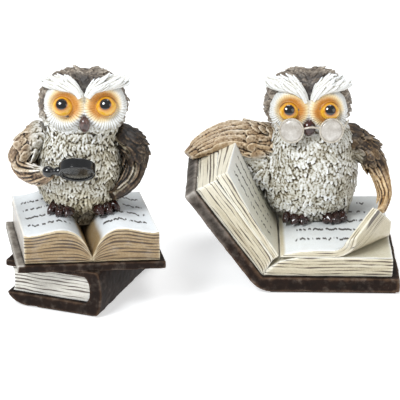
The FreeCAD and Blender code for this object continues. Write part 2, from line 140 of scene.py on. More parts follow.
def cad_mesh(node):
    """A CAD node's own surface, as (points, faces)."""
    me = frame["nodes"][node].data
    points, back = np.unique(np.round(points_of(me) * MM_PER_M, 4), axis=0, return_inverse=True)
    return points, back.ravel()[corners_of(me)].reshape(-1, 3).tolist()


def joined(meshes):
    """The points and faces of all the meshes as one mesh."""
    points, faces, base = [], [], 0
    for p, f in meshes:
        points.append(np.asarray(p))
        faces += [[i + base for i in face] for face in f]
        base += len(p)
    return np.concatenate(points), faces


def tree_of(meshes):
    points, faces = joined(meshes)
    return BVHTree.FromPolygons([Vector(v) for v in points], faces)


def ribbons(paths, ups, widths, thicks, sides=8):
    """Closed flat tubes along the paths (n, k, 3), lying flat across ups, with half widths and thicknesses."""
    paths = np.asarray(paths, float)
    n, k = paths.shape[:2]
    along = np.gradient(paths, axis=1)
    across = unit(np.cross(along, ups))
    ups = unit(np.cross(across, along))
    angle = np.arange(sides) * 2 * math.pi / sides
    widths = np.broadcast_to(widths, (n, k))
    thicks = np.broadcast_to(thicks, (n, k))
    co = paths[:, :, None] + across[:, :, None] * (widths[:, :, None] * np.cos(angle))[..., None]
    co = co + ups[:, :, None] * (thicks[:, :, None] * np.sin(angle))[..., None]
    base = (np.arange(n) * k * sides)[:, None, None]
    ring = base + (np.arange(k - 1) * sides)[None, :, None]
    i = np.arange(sides)[None, None, :]
    j = (i + 1) % sides
    quads = np.stack([ring + i, ring + j, ring + sides + j, ring + sides + i], -1)
    faces = quads.reshape(-1, 4).tolist()
    for first in base.ravel().tolist():
        last = first + (k - 1) * sides
        faces.append(list(range(first, first + sides))[::-1])
        faces.append(list(range(last, last + sides)))
    return co.reshape(-1, 3), faces


# A short feather: places along it, and its half width and half thickness at each of them.
PETAL = np.array([0, 0.14, 0.38, 0.62, 0.82, 0.94, 1.0])
PETAL_WIDE = np.array([0.35, 0.75, 1.0, 0.98, 0.76, 0.42, 0.12])
PETAL_THICK = np.array([0.5, 0.9, 1.0, 0.95, 0.75, 0.5, 0.2])


def petals(roots, aims, ups, length, width, thick, lift):
    """Short feathers from the roots along the aims. Returns their mesh and their middle lines."""
    roots, aims, ups = (np.asarray(a, float) for a in (roots, aims, ups))
    n = len(roots)
    length, width, thick = (np.broadcast_to(a, (n,))[:, None] for a in (length, width, thick))
    aims = unit(aims - ups * (aims * ups).sum(1, keepdims=True))
    rise = lift * PETAL
    paths = roots[:, None] + aims[:, None] * (length * PETAL)[..., None] + ups[:, None] * rise[None, :, None]
    return ribbons(paths, ups[:, None], width * PETAL_WIDE, thick * PETAL_THICK), paths


def ring_faces(rings, turns):
    """Quads from each of the rings of points, given by their numbers, to the one after it."""
    faces = []
    for a, b in zip(rings, rings[1:]):
        for j in range(turns):
            m = (j + 1) % turns
            faces.append([a * turns + j, a * turns + m, b * turns + m, b * turns + j])
    return faces


def lathe(profile, centre, axis, turns):
    """A closed surface of revolution of the (radius, height) profile, whose ends lie on the axis or join."""
    axis = unit(axis)
    side = unit(np.cross(axis, [0.3, 0.2, 1.0]))
    other = np.cross(axis, side)
    a = np.arange(turns) * 2 * math.pi / turns
    around = side * np.cos(a)[:, None] + other * np.sin(a)[:, None]
    co = [np.asarray(centre) + around * r + axis * h for r, h in profile]
    return np.concatenate(co), ring_faces(range(len(profile)), turns)


def ring_profile(outer, inner, half, bevel):
    """The closed outline of a rounded ring."""
    pts = []
    for r, h, turn in ((outer, half, 0), (inner, half, 1), (inner, -half, 2), (outer, -half, 3)):
        cr = r - bevel if turn in (0, 3) else r + bevel
        ch = h - bevel if h > 0 else h + bevel
        for s in range(5):
            a = (turn + s / 4) * math.pi / 2
            pts.append((cr + bevel * math.cos(a), ch + bevel * math.sin(a)))
    return pts + pts[:1]


class Skin:
    """One closed surface round some meshes, with the numbers its paint needs at each point."""

    def __init__(self, meshes, voxel=None, smooth=1):
        """With a voxel size the meshes are fused and smoothed. Without one they stay as they are."""
        self.co, self.faces = joined(meshes)
        if voxel:
            self.remesh(voxel)
            pairs = np.concatenate([self.faces[:, [i, (i + 1) % 4]] for i in range(4)])
            self.edges = np.unique(np.sort(pairs, 1), axis=0)
            self.degree = np.bincount(self.edges.ravel(), minlength=len(self.co)).clip(1)
            self.co = self.blur(self.co, smooth)

    def remesh(self, voxel):
        me = bpy.data.meshes.new("raw")
        me.from_pydata(self.co.tolist(), [], self.faces)
        ob = bpy.data.objects.new("raw", me)
        bpy.context.scene.collection.objects.link(ob)
        modifier = ob.modifiers.new("skin", "REMESH")
        modifier.mode, modifier.voxel_size = "VOXEL", voxel
        made = bpy.data.meshes.new_from_object(ob.evaluated_get(bpy.context.evaluated_depsgraph_get()))
        bpy.data.objects.remove(ob)
        bpy.data.meshes.remove(me)
        self.co, self.faces = points_of(made), corners_of(made).reshape(-1, 4)
        bpy.data.meshes.remove(made)

    def blur(self, values, rounds):
        """The values averaged with their neighbours', some rounds over."""
        flat = values.reshape(len(values), -1).astype(float)
        a, b = self.edges.T
        for _ in range(rounds):
            sums = [np.bincount(a, c[b], len(flat)) + np.bincount(b, c[a], len(flat)) for c in flat.T]
            flat = 0.4 * flat + 0.6 * np.stack([c / self.degree for c in sums], 1)
        return flat.reshape(values.shape)

    def normals(self):
        q = self.co[self.faces]
        n = np.cross(q[:, 2] - q[:, 0], q[:, 3] - q[:, 1])
        flat = self.faces.ravel()
        return unit(np.stack([np.bincount(flat, np.repeat(n[:, k], 4), len(self.co)) for k in range(3)], 1))

    def push(self, depth):
        self.co = self.co + self.normals() * np.asarray(depth)[:, None]

    def relief(self, rounds=6, scale=0.25):
        """-1 in the hollows to 1 on the ridges."""
        out = ((self.co - self.blur(self.co, rounds)) * self.normals()).sum(1)
        return np.clip(out / scale, -1, 1)

    def nearest(self, points, values):
        """For each point of the skin, the row of values of the given point nearest to it."""
        tree = KDTree(len(points))
        for i, p in enumerate(points):
            tree.insert(p, i)
        tree.balance()
        return values[[tree.find(p)[1] for p in self.co]]

    def piece(self, node, slot, material, **numbers):
        """The finished piece, in place of its CAD node, with its paint's numbers kept within their limits."""
        name, nodes = node + "_look", [node]
        me = bpy.data.meshes.new(name)
        faces = self.faces if isinstance(self.faces, list) else self.faces.tolist()
        me.from_pydata((self.co * MM).tolist(), [], faces)
        for key, values in numbers.items():
            values = np.clip(values, *LIMITS.get(key, (-np.inf, np.inf)))
            attribute = me.attributes.new(key, "FLOAT", "POINT")
            attribute.data.foreach_set("value", np.asarray(values, np.float32))
        me.polygons.foreach_set("use_smooth", [True] * len(me.polygons))
        me.materials.append(material)
        ob = bpy.data.objects.new(name, me)
        bpy.context.scene.collection.objects.link(ob)
        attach(ob, frame["nodes"][nodes[0]]["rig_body"])
        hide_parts(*nodes)


# ---- Paint ----


def tones(*levels):
    """Colours given as 0..255 screen levels, as linear light."""

    def linear(c):
        return (c / 255 / 12.92) if c <= 10 else ((c / 255 + 0.055) / 1.055) ** 2.4

    return tuple(tuple(linear(c) for c in level) for level in levels)


class Paint:
    """Builds one node material."""

    def __init__(self, name):
        self.material = bpy.data.materials.new(name)
        self.material.use_nodes = True
        self.tree = self.material.node_tree
        self.shader = self.tree.nodes["Principled BSDF"]
        self.place = self.add("ShaderNodeTexCoord").outputs["Object"]

    def add(self, kind, inputs=None, **settings):
        node = self.tree.nodes.new(kind)
        for key, value in settings.items():
            setattr(node, key, value)
        for key, value in (inputs or {}).items():
            self.set(node.inputs[key], value)
        return node

    def set(self, socket, value):
        if isinstance(value, bpy.types.NodeSocket):
            self.tree.links.new(value, socket)
        elif isinstance(value, tuple) and len(value) == 3 and socket.type == "RGBA":
            socket.default_value = (*value, 1.0)
        else:
            socket.default_value = value

    def number(self, name):
        return self.add("ShaderNodeAttribute", attribute_name=name).outputs["Fac"]

    def math(self, how, a, b=0.0, clamp=False):
        return self.add("ShaderNodeMath", {0: a, 1: b}, operation=how, use_clamp=clamp).outputs[0]

    def times(self, value, by, plus):
        """value * by + plus"""
        return self.add("ShaderNodeMath", {0: value, 1: by, 2: plus}, operation="MULTIPLY_ADD").outputs[0]

    def above(self, value, least, steep):
        """0 up to the least value, then rising to 1 that steeply."""
        return self.math("MULTIPLY", self.math("SUBTRACT", value, least), steep, clamp=True)

    def plus(self, value, grain, size):
        """The value made uneven by noise, by up to half the size either way, in 0..1."""
        return self.math("ADD", value, self.times(grain, size, -size / 2), clamp=True)

    def height(self, by, plus):
        """How high the surface stands, from its relief."""
        return self.times(self.number("relief"), by, plus)

    def texture(self, place, scale, detail=2.0, rough=0.5):
        """Noise in 0..1."""
        inputs = {"Vector": place, "Scale": scale, "Detail": detail, "Roughness": rough}
        return self.add("ShaderNodeTexNoise", inputs).outputs["Fac"]

    def grain(self, size_mm, detail=3.0):
        """Noise in 0..1 with features of that size."""
        return self.texture(self.place, MM_PER_M / size_mm, detail, 0.6)

    def spot(self, x, y):
        return self.add("ShaderNodeCombineXYZ", {"X": x, "Y": y, "Z": 0.5}).outputs[0]

    def ramp(self, value, places, colours):
        """The colour for each place in 0..1 of the value, blended between them."""
        node = self.add("ShaderNodeValToRGB", {"Fac": value})
        elements = node.color_ramp.elements
        while len(elements) < len(places):
            elements.new(0.5)
        for element, place, colour in zip(elements, places, colours):
            element.position = place
            element.color = (*colour, 1.0)
        return node.outputs["Color"]

    def mix(self, share, a, b):
        node = self.add("ShaderNodeMix", {0: share, 6: a, 7: b}, data_type="RGBA")
        return node.outputs[2]

    def done(self, colour, rough, bump=None, strength=0.3, depth_mm=0.15, coat=0.0, specular=0.5):
        self.set(self.shader.inputs["Base Color"], colour)
        self.set(self.shader.inputs["Roughness"], rough)
        self.shader.inputs["Specular IOR Level"].default_value = specular
        self.shader.inputs["Coat Weight"].default_value = coat
        self.shader.inputs["Coat Roughness"].default_value = 0.12
        if bump is not None:
            inputs = {"Height": bump, "Strength": strength, "Distance": depth_mm * MM}
            self.set(self.shader.inputs["Normal"], self.add("ShaderNodeBump", inputs).outputs["Normal"])
        return self.material


# Where in the relief each of a palette's four colours lies, for feathers and covers and for page edges.
WASH_PLACES = (0.14, 0.36, 0.56, 0.86)
EDGE_PLACES = (0.1, 0.36, 0.56, 0.84)


def washed(name, first, second=None, third=None, rough=0.5, coat=0.05, shift=0.0, speckle=0.35, specular=0.4):
    """Hand-painted resin. Each palette is (in the hollows, on the slopes, body, on the ridges). The number
    "zone" mixes in the second palette, and "patch" the third."""
    p = Paint(name)
    coarse, fine = p.grain(5.0), p.grain(0.8, 4.0)
    wobble = p.math("ADD", p.times(coarse, speckle, -speckle / 2), p.times(fine, speckle * 0.9, -speckle * 0.45))
    level = p.math("ADD", p.height(0.42, 0.5 + shift), wobble, clamp=True)
    colour = p.ramp(level, WASH_PLACES, first)
    for number, palette in (("zone", second), ("patch", third)):
        if palette:
            share = p.plus(p.number(number), coarse, 0.6)
            colour = p.mix(share, colour, p.ramp(level, WASH_PLACES, palette))
    return p.done(colour, p.times(coarse, 0.3, rough - 0.15), p.grain(0.9, 4.0), 0.4, 0.12, coat, specular)


LEAF_PLACES = (0.1, 0.34, 0.52, 0.9)
LEAF_HOLLOW, LEAF_SLOPE, LEAF_RIDGE = tones((96, 78, 52), (168, 158, 134), (242, 245, 247))
CRACK, INK = tones((54, 34, 20), (40, 30, 22))
ROW_PITCH = 13.0
NEXT_LINE, NEXT_ROW = 31.0, 37.0  # from one line's or row's stretch of noise to the next one's


def cracks(p, bold):
    """Lines between the leaves along their edges, wavering and here and there broken off."""
    along = p.number("along")
    stack = p.math("ADD", p.number("stack"), p.times(p.texture(p.spot(along, 0.5), 0.035), 1.4, 0.0))
    off = p.math("ABSOLUTE", p.math("SUBTRACT", p.math("FRACT", stack), 0.5))
    line = p.math("MULTIPLY", p.math("FLOOR", stack), NEXT_LINE)
    wide = p.times(p.texture(p.spot(along, line), 0.05), bold, -0.29)
    return p.math("MULTIPLY", p.above(wide, off, 8.0), p.number("edge"))


def writing(p):
    """Rows of squiggles that spell nothing, broken into words."""
    row = p.math("DIVIDE", p.number("row"), ROW_PITCH)
    middle = p.times(p.math("FRACT", row), ROW_PITCH, -ROW_PITCH / 2)
    spot = p.spot(p.number("column"), p.math("MULTIPLY", p.math("FLOOR", row), NEXT_ROW))
    wave, words = p.texture(spot, 0.5, 1.0), p.texture(spot, 0.52, 1.0)
    off = p.math("ABSOLUTE", p.math("SUBTRACT", middle, p.times(wave, 7.0, -3.5)))
    stroke = p.above(1.5, off, 2.4)
    return p.math("MULTIPLY", p.math("MULTIPLY", stroke, p.above(words, 0.425, 22.0)), p.number("written"))


def paper(name, tone, edge_tones, bold=0.85):
    """Painted pages: pale on the leaves with rows of squiggles as if written, and brown lines between the
    leaves along the edges."""
    p = Paint(name)
    fine = p.grain(0.9, 4.0)
    level = p.plus(p.height(0.45, 0.52), fine, 0.3)
    leaf = p.ramp(level, LEAF_PLACES, (LEAF_HOLLOW, LEAF_SLOPE, tone, LEAF_RIDGE))
    edge = p.ramp(level, EDGE_PLACES, edge_tones)
    zone = p.math("ADD", p.number("zone"), p.times(p.grain(9.0), 0.45, -0.22), clamp=True)
    crack, ink = cracks(p, bold), writing(p)
    edge = p.mix(p.math("MULTIPLY", crack, 0.9), edge, CRACK)
    colour = p.mix(p.math("MULTIPLY", ink, 0.92), p.mix(zone, leaf, edge), INK)
    height = p.math("SUBTRACT", fine, p.math("MULTIPLY", p.math("MAXIMUM", ink, crack), 2.5))
    return p.done(colour, 0.42, height, 0.5, 0.15, 0.15)


def disc_paint():
    """Amber round the eye, fading through cream to white at the rim."""
    p = Paint("facial_disc")
    fine = p.grain(0.9, 4.0)
    level = p.plus(p.height(0.4, 0.54), fine, 0.3)
    near = p.ramp(level, (0.1, 0.36, 0.58, 0.9), AMBER)
    mid = p.ramp(level, (0.1, 0.36, 0.58, 0.9), BUFF)
    far = p.ramp(level, (0.1, 0.32, 0.54, 0.85), CHALK)
    out = p.plus(p.number("zone"), p.grain(3.0), 0.3)
    colour = p.mix(p.math("MULTIPLY", out, 2.2, clamp=True), near, mid)
    colour = p.mix(p.times(out, 2.2, -1.0), colour, far)
    colour = p.mix(p.number("lid"), colour, LID)
    return p.done(colour, 0.42, fine, 0.3, 0.1, 0.15)


def eye_paint():
    """A glossy painted eye: black pupil, amber iris, dark behind."""
    p = Paint("eye")
    out = p.math("ADD", p.number("out"), p.times(p.grain(0.7, 3.0), 0.05, -0.025))
    colour = p.ramp(out, (0.0, 0.29, 0.32, 0.42, 0.6, 0.78, 0.94), IRIS)
    return p.done(colour, 0.08, p.grain(2.0), 0.02, 0.05, 1.0)


def gloss(name, dark, light, rough=0.12, coat=0.6, size=2.5):
    """Glossy enamel, a little uneven."""
    p = Paint(name)
    colour = p.ramp(p.grain(size, 3.0), (0.3, 0.75), tones(dark, light))
    return p.done(colour, p.times(p.grain(1.2), 0.14, rough), p.grain(1.0, 3.0), 0.08, 0.08, coat)


def felt_paint():
    p = Paint("felt")
    fluff = p.grain(0.35, 4.0)
    colour = p.ramp(fluff, (0.3, 0.8), tones((30, 24, 20), (66, 56, 48)))
    return p.done(colour, 0.95, fluff, 0.8, 0.3, 0.0, 0.1)


def floor_paint():
    p = Paint("floor")
    p.shader.inputs["Emission Color"].default_value = (1.0, 1.0, 1.0, 1.0)
    p.shader.inputs["Emission Strength"].default_value = 0.55
    colour = p.ramp(p.grain(60.0), (0.2, 0.8), ((0.7, 0.7, 0.7), (0.72, 0.72, 0.72)))
    return p.done(colour, 0.7, specular=0.2)


CREAM = tones((44, 34, 20), (124, 110, 84), (184, 176, 156), (238, 237, 230))
WHITE = tones((46, 36, 22), (132, 122, 98), (202, 200, 190), (246, 248, 250))
SNOW = tones((112, 106, 96), (184, 180, 170), (218, 218, 214), (240, 243, 246))
OLIVE = tones((30, 22, 10), (96, 84, 58), (156, 146, 118), (214, 208, 188))
TAN = tones((30, 20, 12), (96, 76, 54), (164, 144, 118), (216, 204, 184))
HONEY = tones((36, 23, 13), (112, 86, 58), (166, 138, 104), (210, 190, 158))
GOLD = tones((44, 27, 13), (124, 90, 52), (174, 138, 92), (214, 188, 146))
BROWN = tones((14, 8, 4), (52, 33, 17), (100, 70, 42), (176, 146, 108))
BLACK_BROWN = tones((8, 5, 3), (26, 17, 10), (56, 41, 27), (122, 102, 78))
SOOT = tones((9, 6, 5), (24, 18, 14), (50, 41, 34), (122, 106, 90))
GREYISH = tones((22, 16, 12), (66, 56, 47), (116, 104, 91), (184, 172, 156))
COVER = tones((8, 5, 4), (20, 12, 8), (35, 22, 15), (88, 68, 52))
WORN = tones((38, 32, 27), (92, 84, 76), (146, 139, 130), (200, 196, 190))
TAN_EDGES = tones((44, 28, 14), (104, 80, 50), (146, 122, 86), (200, 184, 152))
CREAM_EDGES = tones((60, 42, 24), (146, 130, 102), (194, 184, 158), (226, 220, 202))
PALE_EDGES = tones((66, 50, 34), (158, 148, 130), (206, 202, 192), (232, 231, 226))
AMBER = tones((84, 42, 10), (148, 86, 22), (190, 124, 38), (214, 160, 80))
BUFF = tones((128, 90, 44), (190, 156, 98), (222, 198, 148), (240, 226, 190))
CHALK = tones((92, 78, 58), (176, 168, 148), (212, 211, 205), (240, 242, 244))
LID, LEAF, DULL_LEAF, CREAM_LEAF, PALE_LEAF = tones(
    (30, 16, 8), (216, 220, 222), (206, 204, 196), (196, 192, 172), (214, 217, 216))
IRIS = tones((6, 5, 4), (6, 5, 4), (150, 84, 8), (204, 142, 24), (230, 178, 52), (206, 140, 30), (60, 30, 8))

BELLY = washed("belly_feathers", WHITE, OLIVE, SOOT)
CROWN = washed("head_feathers", GREYISH, SOOT, WHITE, shift=-0.05)
BROWS = washed("brow_feathers", SNOW, CREAM, shift=0.02, speckle=0.2)
TAN_WING = washed("tan_wing_feathers", TAN, BROWN, WHITE, shift=-0.03)
GOLD_WING = washed("gold_wing_feathers", HONEY, TAN, WHITE, shift=-0.03)
BLACK_WING = washed("black_wing_feathers", BLACK_BROWN, BROWN, CREAM, shift=-0.15)
DARK_WING = washed("dark_wing_feathers", BLACK_BROWN, GOLD, CREAM, shift=-0.02)
LEATHER = washed("book_cover", COVER, WORN, rough=0.55, coat=0.0, shift=-0.03, speckle=0.25, specular=0.12)
PAGES = paper("pages", LEAF, TAN_EDGES, 0.98)
CLOSED_PAGES = paper("closed_pages", DULL_LEAF, PALE_EDGES, 0.92)
CREAM_PAGES = paper("cream_pages", CREAM_LEAF, CREAM_EDGES, 0.91)
PALE_PAGES = paper("pale_pages", PALE_LEAF, CREAM_EDGES)
DISC = disc_paint()
EYE = eye_paint()
CLAW = gloss("claw", (14, 6, 5), (58, 24, 18))
BEAK = gloss("beak", (24, 8, 6), (74, 30, 22))
GREY_BEAK = gloss("grey_beak", (30, 14, 11), (112, 86, 80), size=3.0)
BLACK = gloss("black_gloss", (6, 6, 7), (18, 18, 19), 0.03, 0.5)
GLASS = gloss("lens_face", (24, 22, 20), (52, 49, 45), 0.2)
PEARL = gloss("spectacle_lens", (160, 152, 142), (216, 212, 206), 0.2, 0.8, 6.0)
WIRE = gloss("spectacle_wire", (164, 154, 138), (206, 200, 188), 0.25, 0.5)

# ---- Books ----


def flat_unit(v):
    return unit([v[0], v[1], 0])


class Book:
    """A book's own width and depth directions, from the corners of one of its nodes."""

    def __init__(self, node):
        points = cad_mesh(node)[0]
        points = points[points[:, 2] < points[:, 2].min() + 0.5]

        def corner(x, y):
            return points[np.argmax(points[:, 0] * x + points[:, 1] * y)]

        self.front = corner(-1, -1)
        self.width = unit(corner(1, -1) - self.front)
        self.depth = unit(corner(-1, 1) - self.front)

    def coordinates(self, points):
        """How far each point is along the width and the depth."""
        basis = np.stack([self.width[:2], self.depth[:2]], 1)
        return ((points - self.front)[:, :2] @ np.linalg.inv(basis).T).T


def profile_top(u, height):
    """The greatest height over each stretch of u, for every point."""
    stretch = 1.5
    index = np.floor((u - u.min()) / stretch).astype(int)
    top = np.full(index.max() + 1, -1e9)
    np.maximum.at(top, index, height)
    middle = (np.arange(len(top)) + 0.5) * stretch + u.min()
    return np.interp(u, middle, top)


def upright(p, n):
    """1 on the upright sides of a block."""
    return ramp(1 - np.abs(n[:, 2]), 0.2, 0.5)


def page_block(name, material, seed, voxel, span, pitch, level_of, side_of, text=None, slot="pages"):
    """A block of leaves with lined edges, drawn as span / pitch lines. level_of gives each point's height in
    the block as 0..1 and its place along the block, side_of how much it is on an edge of the leaves, and text
    its (column, row, written, toned) numbers."""
    skin = Skin([cad_mesh(name)], voxel, smooth=2)
    normal = skin.normals()
    level, along = level_of(skin.co)
    side = side_of(skin.co, normal)
    steps = np.stack([along / 30, level * span / pitch * 0.8, level * 0], 1)
    skin.push(0.3 * side * noise(steps, 1.0, seed) + 0.14 * noise(skin.co, 6.0, seed))
    relief = skin.relief(10, 0.3) * 0.8 + 0.08 + 0.45 * ramp(skin.co[:, 2], 42, 84)
    column, row, written, toned = text(skin.co, normal) if text else (along, along, along * 0, side)
    skin.piece(name, slot, material, relief=relief, zone=toned, column=column, row=row, written=written,
               stack=level * span / pitch + seed * 7, along=along + seed * 50, edge=side)


def cover(name, seed, voxel, worn=None):
    """Worn painted boards: soft corners, an uneven skin, paler along the edges."""
    skin = Skin([cad_mesh(name)], voxel, smooth=3)
    skin.push(0.22 * noise(skin.co, 7.0, seed) + 0.12 * noise(skin.co, 2.6, seed + 1))
    relief = skin.relief(8, 0.5) * 1.1 + 0.2 * noise(skin.co, 5.0, seed + 2)
    zone = worn(skin.co, skin.normals()) if worn else relief * 0
    skin.piece(name, "book_cover", LEATHER, relief=relief, zone=zone)


def closed_book():
    book = Book("lens_felt_pad")
    lo, hi = node_box("lens_lower_pages")

    def level(p):
        u, v = book.coordinates(p)
        return (p[:, 2] - lo[2]) / (hi[2] - lo[2]), u + v

    cover("lens_lower_cover", 1, 0.75)
    page_block("lens_lower_pages", CLOSED_PAGES, 2, 0.55, 18.0, 2.4, level, upright, slot="page_edges")


GUTTER = 5.0 + 42.3  # the open book's board past its leaves, and the width of one leaf


def open_book():
    book = Book("lens_upper_cover")

    def worn(p, n):
        u, _ = book.coordinates(p)
        return ramp(5.5 - u, 0, 2) * ramp(n[:, 2] - n[:, 0], 0.1, 0.7)

    cover("lens_upper_cover", 5, 0.6, worn)
    open_leaves(book, "left", 7)
    open_leaves(book, "right", 11)


def open_leaves(book, side, seed):
    base = node_box("lens_upper_cover")[1][2]
    outer, ahead = flat_unit(book.width), flat_unit(book.depth)

    def fore_edge(n):
        return np.clip(n @ outer * SIGN[side], 0, 1)

    def level(p):
        u, v = book.coordinates(p)
        return (p[:, 2] - base) / (profile_top(u, p[:, 2]) - base), u + 0.6 * v

    def edge(p, n):
        return np.clip(ramp(np.abs(n @ ahead), 0.5, 0.8) + ramp(fore_edge(n), 0.5, 0.8), 0, 1)

    def text(p, n):
        u, v = book.coordinates(p)
        on = ramp(n[:, 2], 0.45, 0.75)
        out = np.abs(u - GUTTER)
        written = on * window(out, 9, 38.5) * window(v, 10, 63)
        # The leaves take some of the edge colours towards their outer and front edges, and near the gutter as
        # painted shade.
        rim = ramp(out, 40, 42.5) * 0.4 + ramp(8 - out, 0, 8) * 0.8 + ramp(4 - v, 0, 4) * 0.4
        return u, v + 2, written, (1 - on) * (1 - 0.65 * fore_edge(n)) + rim * 0.7

    page_block(f"lens_upper_pages_{side}", PAGES, seed, 0.5, 19.5, 2.0, level, edge, text)


class Lean:
    """The leaning book's own directions: along the flat board, back, and along and in from its leaning board."""

    flat_board = 92.5
    thick = 8.0
    angle = math.radians(126.0)

    def __init__(self):
        points = cad_mesh("specs_cover")[0]
        low = points[points[:, 2] < points[:, 2].min() + 0.2]
        right = low[np.argmax(low[:, 0] - low[:, 1])]
        back = low[np.argmax(low[:, 0] + low[:, 1])]
        self.depth = unit(back - right)
        self.width = np.array([self.depth[1], -self.depth[0], 0])
        self.corner = right - self.width * self.flat_board
        self.inward = self.width * math.sin(self.angle) + np.array([0, 0, -math.cos(self.angle)])

    def flat(self, p):
        """(along the flat board, towards the back, up) for each point."""
        q = p - self.corner
        return q @ self.width, q @ self.depth, q[:, 2]

    def tilted(self, p):
        """(up the leaning board, in from its inner face) for each point."""
        u, _, z = self.flat(p)
        c, s = math.cos(self.angle), math.sin(self.angle)
        return u * c + z * s, u * s - z * c - self.thick

    def point(self, u, v):
        return self.corner + self.width * u + self.depth * v


def leaning_book():
    lean = Lean()

    def worn(p, n):
        s, _ = lean.tilted(p)
        return ramp(s, 76, 82) * 0.4 + ramp(s, 20, 60) * ramp(-(n @ lean.depth), 0.5, 0.9) * 0.25

    cover("specs_cover", 21, 0.85, worn)
    leaning_leaves(lean)
    flat_leaves(lean)
    folded_leaves(lean)


def leaning_leaves(lean):
    """The block on the leaning board and the loose leaves in front of it."""

    def edge(p, n):
        fore = ramp(-(n @ lean.width), 0.3, 0.9) * ramp(n[:, 2], 0.2, 0.5)
        return np.clip(ramp(np.abs(n @ lean.depth), 0.5, 0.8) + fore + ramp(n[:, 2], 0.7, 0.95), 0, 1)

    def block_level(p):
        s, t = lean.tilted(p)
        return t / np.maximum(profile_top(s, t), 1), s + 0.4 * (p @ lean.depth)

    def leaf_level(p):
        s, t = lean.tilted(p)
        v = lean.flat(p)[1] / 98
        thick = 4.0 + 0.06 * s + v * ramp(s, 10, 90) * 14.0
        return np.clip((t - 11.5 - 0.04 * s) / thick, 0, 1), s + 0.4 * (p @ lean.depth)

    def leaf_text(p, n):
        s, _ = lean.tilted(p)
        v = lean.flat(p)[1]
        on = ramp(n @ lean.inward, 0.6, 0.85)
        written = on * window(s, 20, 74) * window(v, 12, 78)
        # Some edge colour towards the front edge, and low on the leaning board, near the gutter, as painted
        # shade.
        rim = ramp(6 - v, 0, 6) * 0.3 + ramp(24 - s, 0, 12) * 0.5
        return s, v, written, (1 - on) + rim * 0.6 + 0.05

    page_block("specs_pages_left", CREAM_PAGES, 23, 0.6, 13.0, 2.0, block_level, edge)
    page_block("specs_leaves_left", CREAM_PAGES, 29, 0.5, 6.5, 1.8, leaf_level, edge, leaf_text)


def flat_leaves(lean):
    """The unwritten block on the flat board."""
    lo, hi = node_box("specs_pages_right")

    def level(p):
        u, v, _ = lean.flat(p)
        return np.clip((p[:, 2] - lo[2]) / (hi[2] - lo[2]), 0, 1), u + 0.7 * v

    def blank(p, n):
        u, v, _ = lean.flat(p)
        return u, v, u * 0, upright(p, n) + 0.35

    page_block("specs_pages_right", CREAM_PAGES, 31, 0.6, 13.5, 2.3, level, upright, blank)


def folded_leaves(lean):
    """The leaves on top of the flat block, whose front corner is folded up along a line."""
    start, end = lean.point(47.0, 3.5), lean.point(87.5, 45.0)
    fold = unit(end - start)
    out = np.array([fold[1], -fold[0], 0])
    base = node_box("specs_pages_right")[1][2]
    radius, thick = 11.0, 5.0

    def folded(p):
        """(round the fold, out from it) for each point."""
        n = (p - start) @ out
        rise = base + radius - p[:, 2]
        angle = np.clip(np.arctan2(np.maximum(n, 0), rise), 0, math.radians(80))
        return angle, n * np.sin(angle) + rise * np.cos(angle)

    def fan_of(p):
        """Distance from the raised front edge, on the outside of the fold."""
        return 0.66 * ((p - start) @ fold - 1.14 * (p[:, 2] - base))

    def level(p):
        _, away = folded(p)
        u, v, _ = lean.flat(p)
        up = np.clip((radius - away) / thick, 0, 1)
        return up + np.clip(fan_of(p), 0, 40) / thick * ramp(0.3 - up, 0, 0.25), u + 0.7 * v

    def edge(p, n):
        angle, _ = folded(p)
        face = n[:, 2] * np.cos(angle) - (n @ out) * np.sin(angle)
        return np.maximum(ramp(1 - np.abs(face), 0.15, 0.5), ramp(-face, 0.5, 0.8) * ramp(13 - fan_of(p), 0, 6))

    def text(p, n):
        angle, away = folded(p)
        u, v, _ = lean.flat(p)
        on = ramp(radius - away, 1.2, 2.4) * (1 - edge(p, n))
        written = on * window(u, 24, 74) * window(v, 15, 88) * ramp(0.9 - angle, 0, 0.2)
        rim = ramp(angle, 0.7, 1.3) * 0.3
        return u, v * 0.85, written, (1 - on) + rim * 0.6

    page_block("specs_leaves_right", PALE_PAGES, 37, 0.5, 5.0, 1.7, level, edge, text)


# ---- Owls ----

EYE_OUT, EYE_BACK, EYE_RADIUS = 13.5, 0.4, 6.6  # from the middle of the face, and the size
EYE_TO_FACE = 6.2  # from the front of the eyes back to the middle of the face
CHIN_DROP = 12.0  # from the eyes down to where the breast feathers end
FAR = 90  # outside any part of an owl


def eye_centre(face, side):
    return np.array([face[0] + SIGN[side] * EYE_OUT, face[1] + EYE_BACK, face[2]])


def cast(tree, origin, direction):
    """Where a ray coming in along the direction meets the surface, and the surface's normal there."""
    outside = Vector(origin) + Vector(direction) * FAR
    hit, normal, _, _ = tree.ray_cast(outside, -Vector(direction))
    return (np.array(hit), np.array(normal)) if hit else (None, None)


def deepened(relief, depth):
    return np.where(relief < 0, depth * relief, relief)


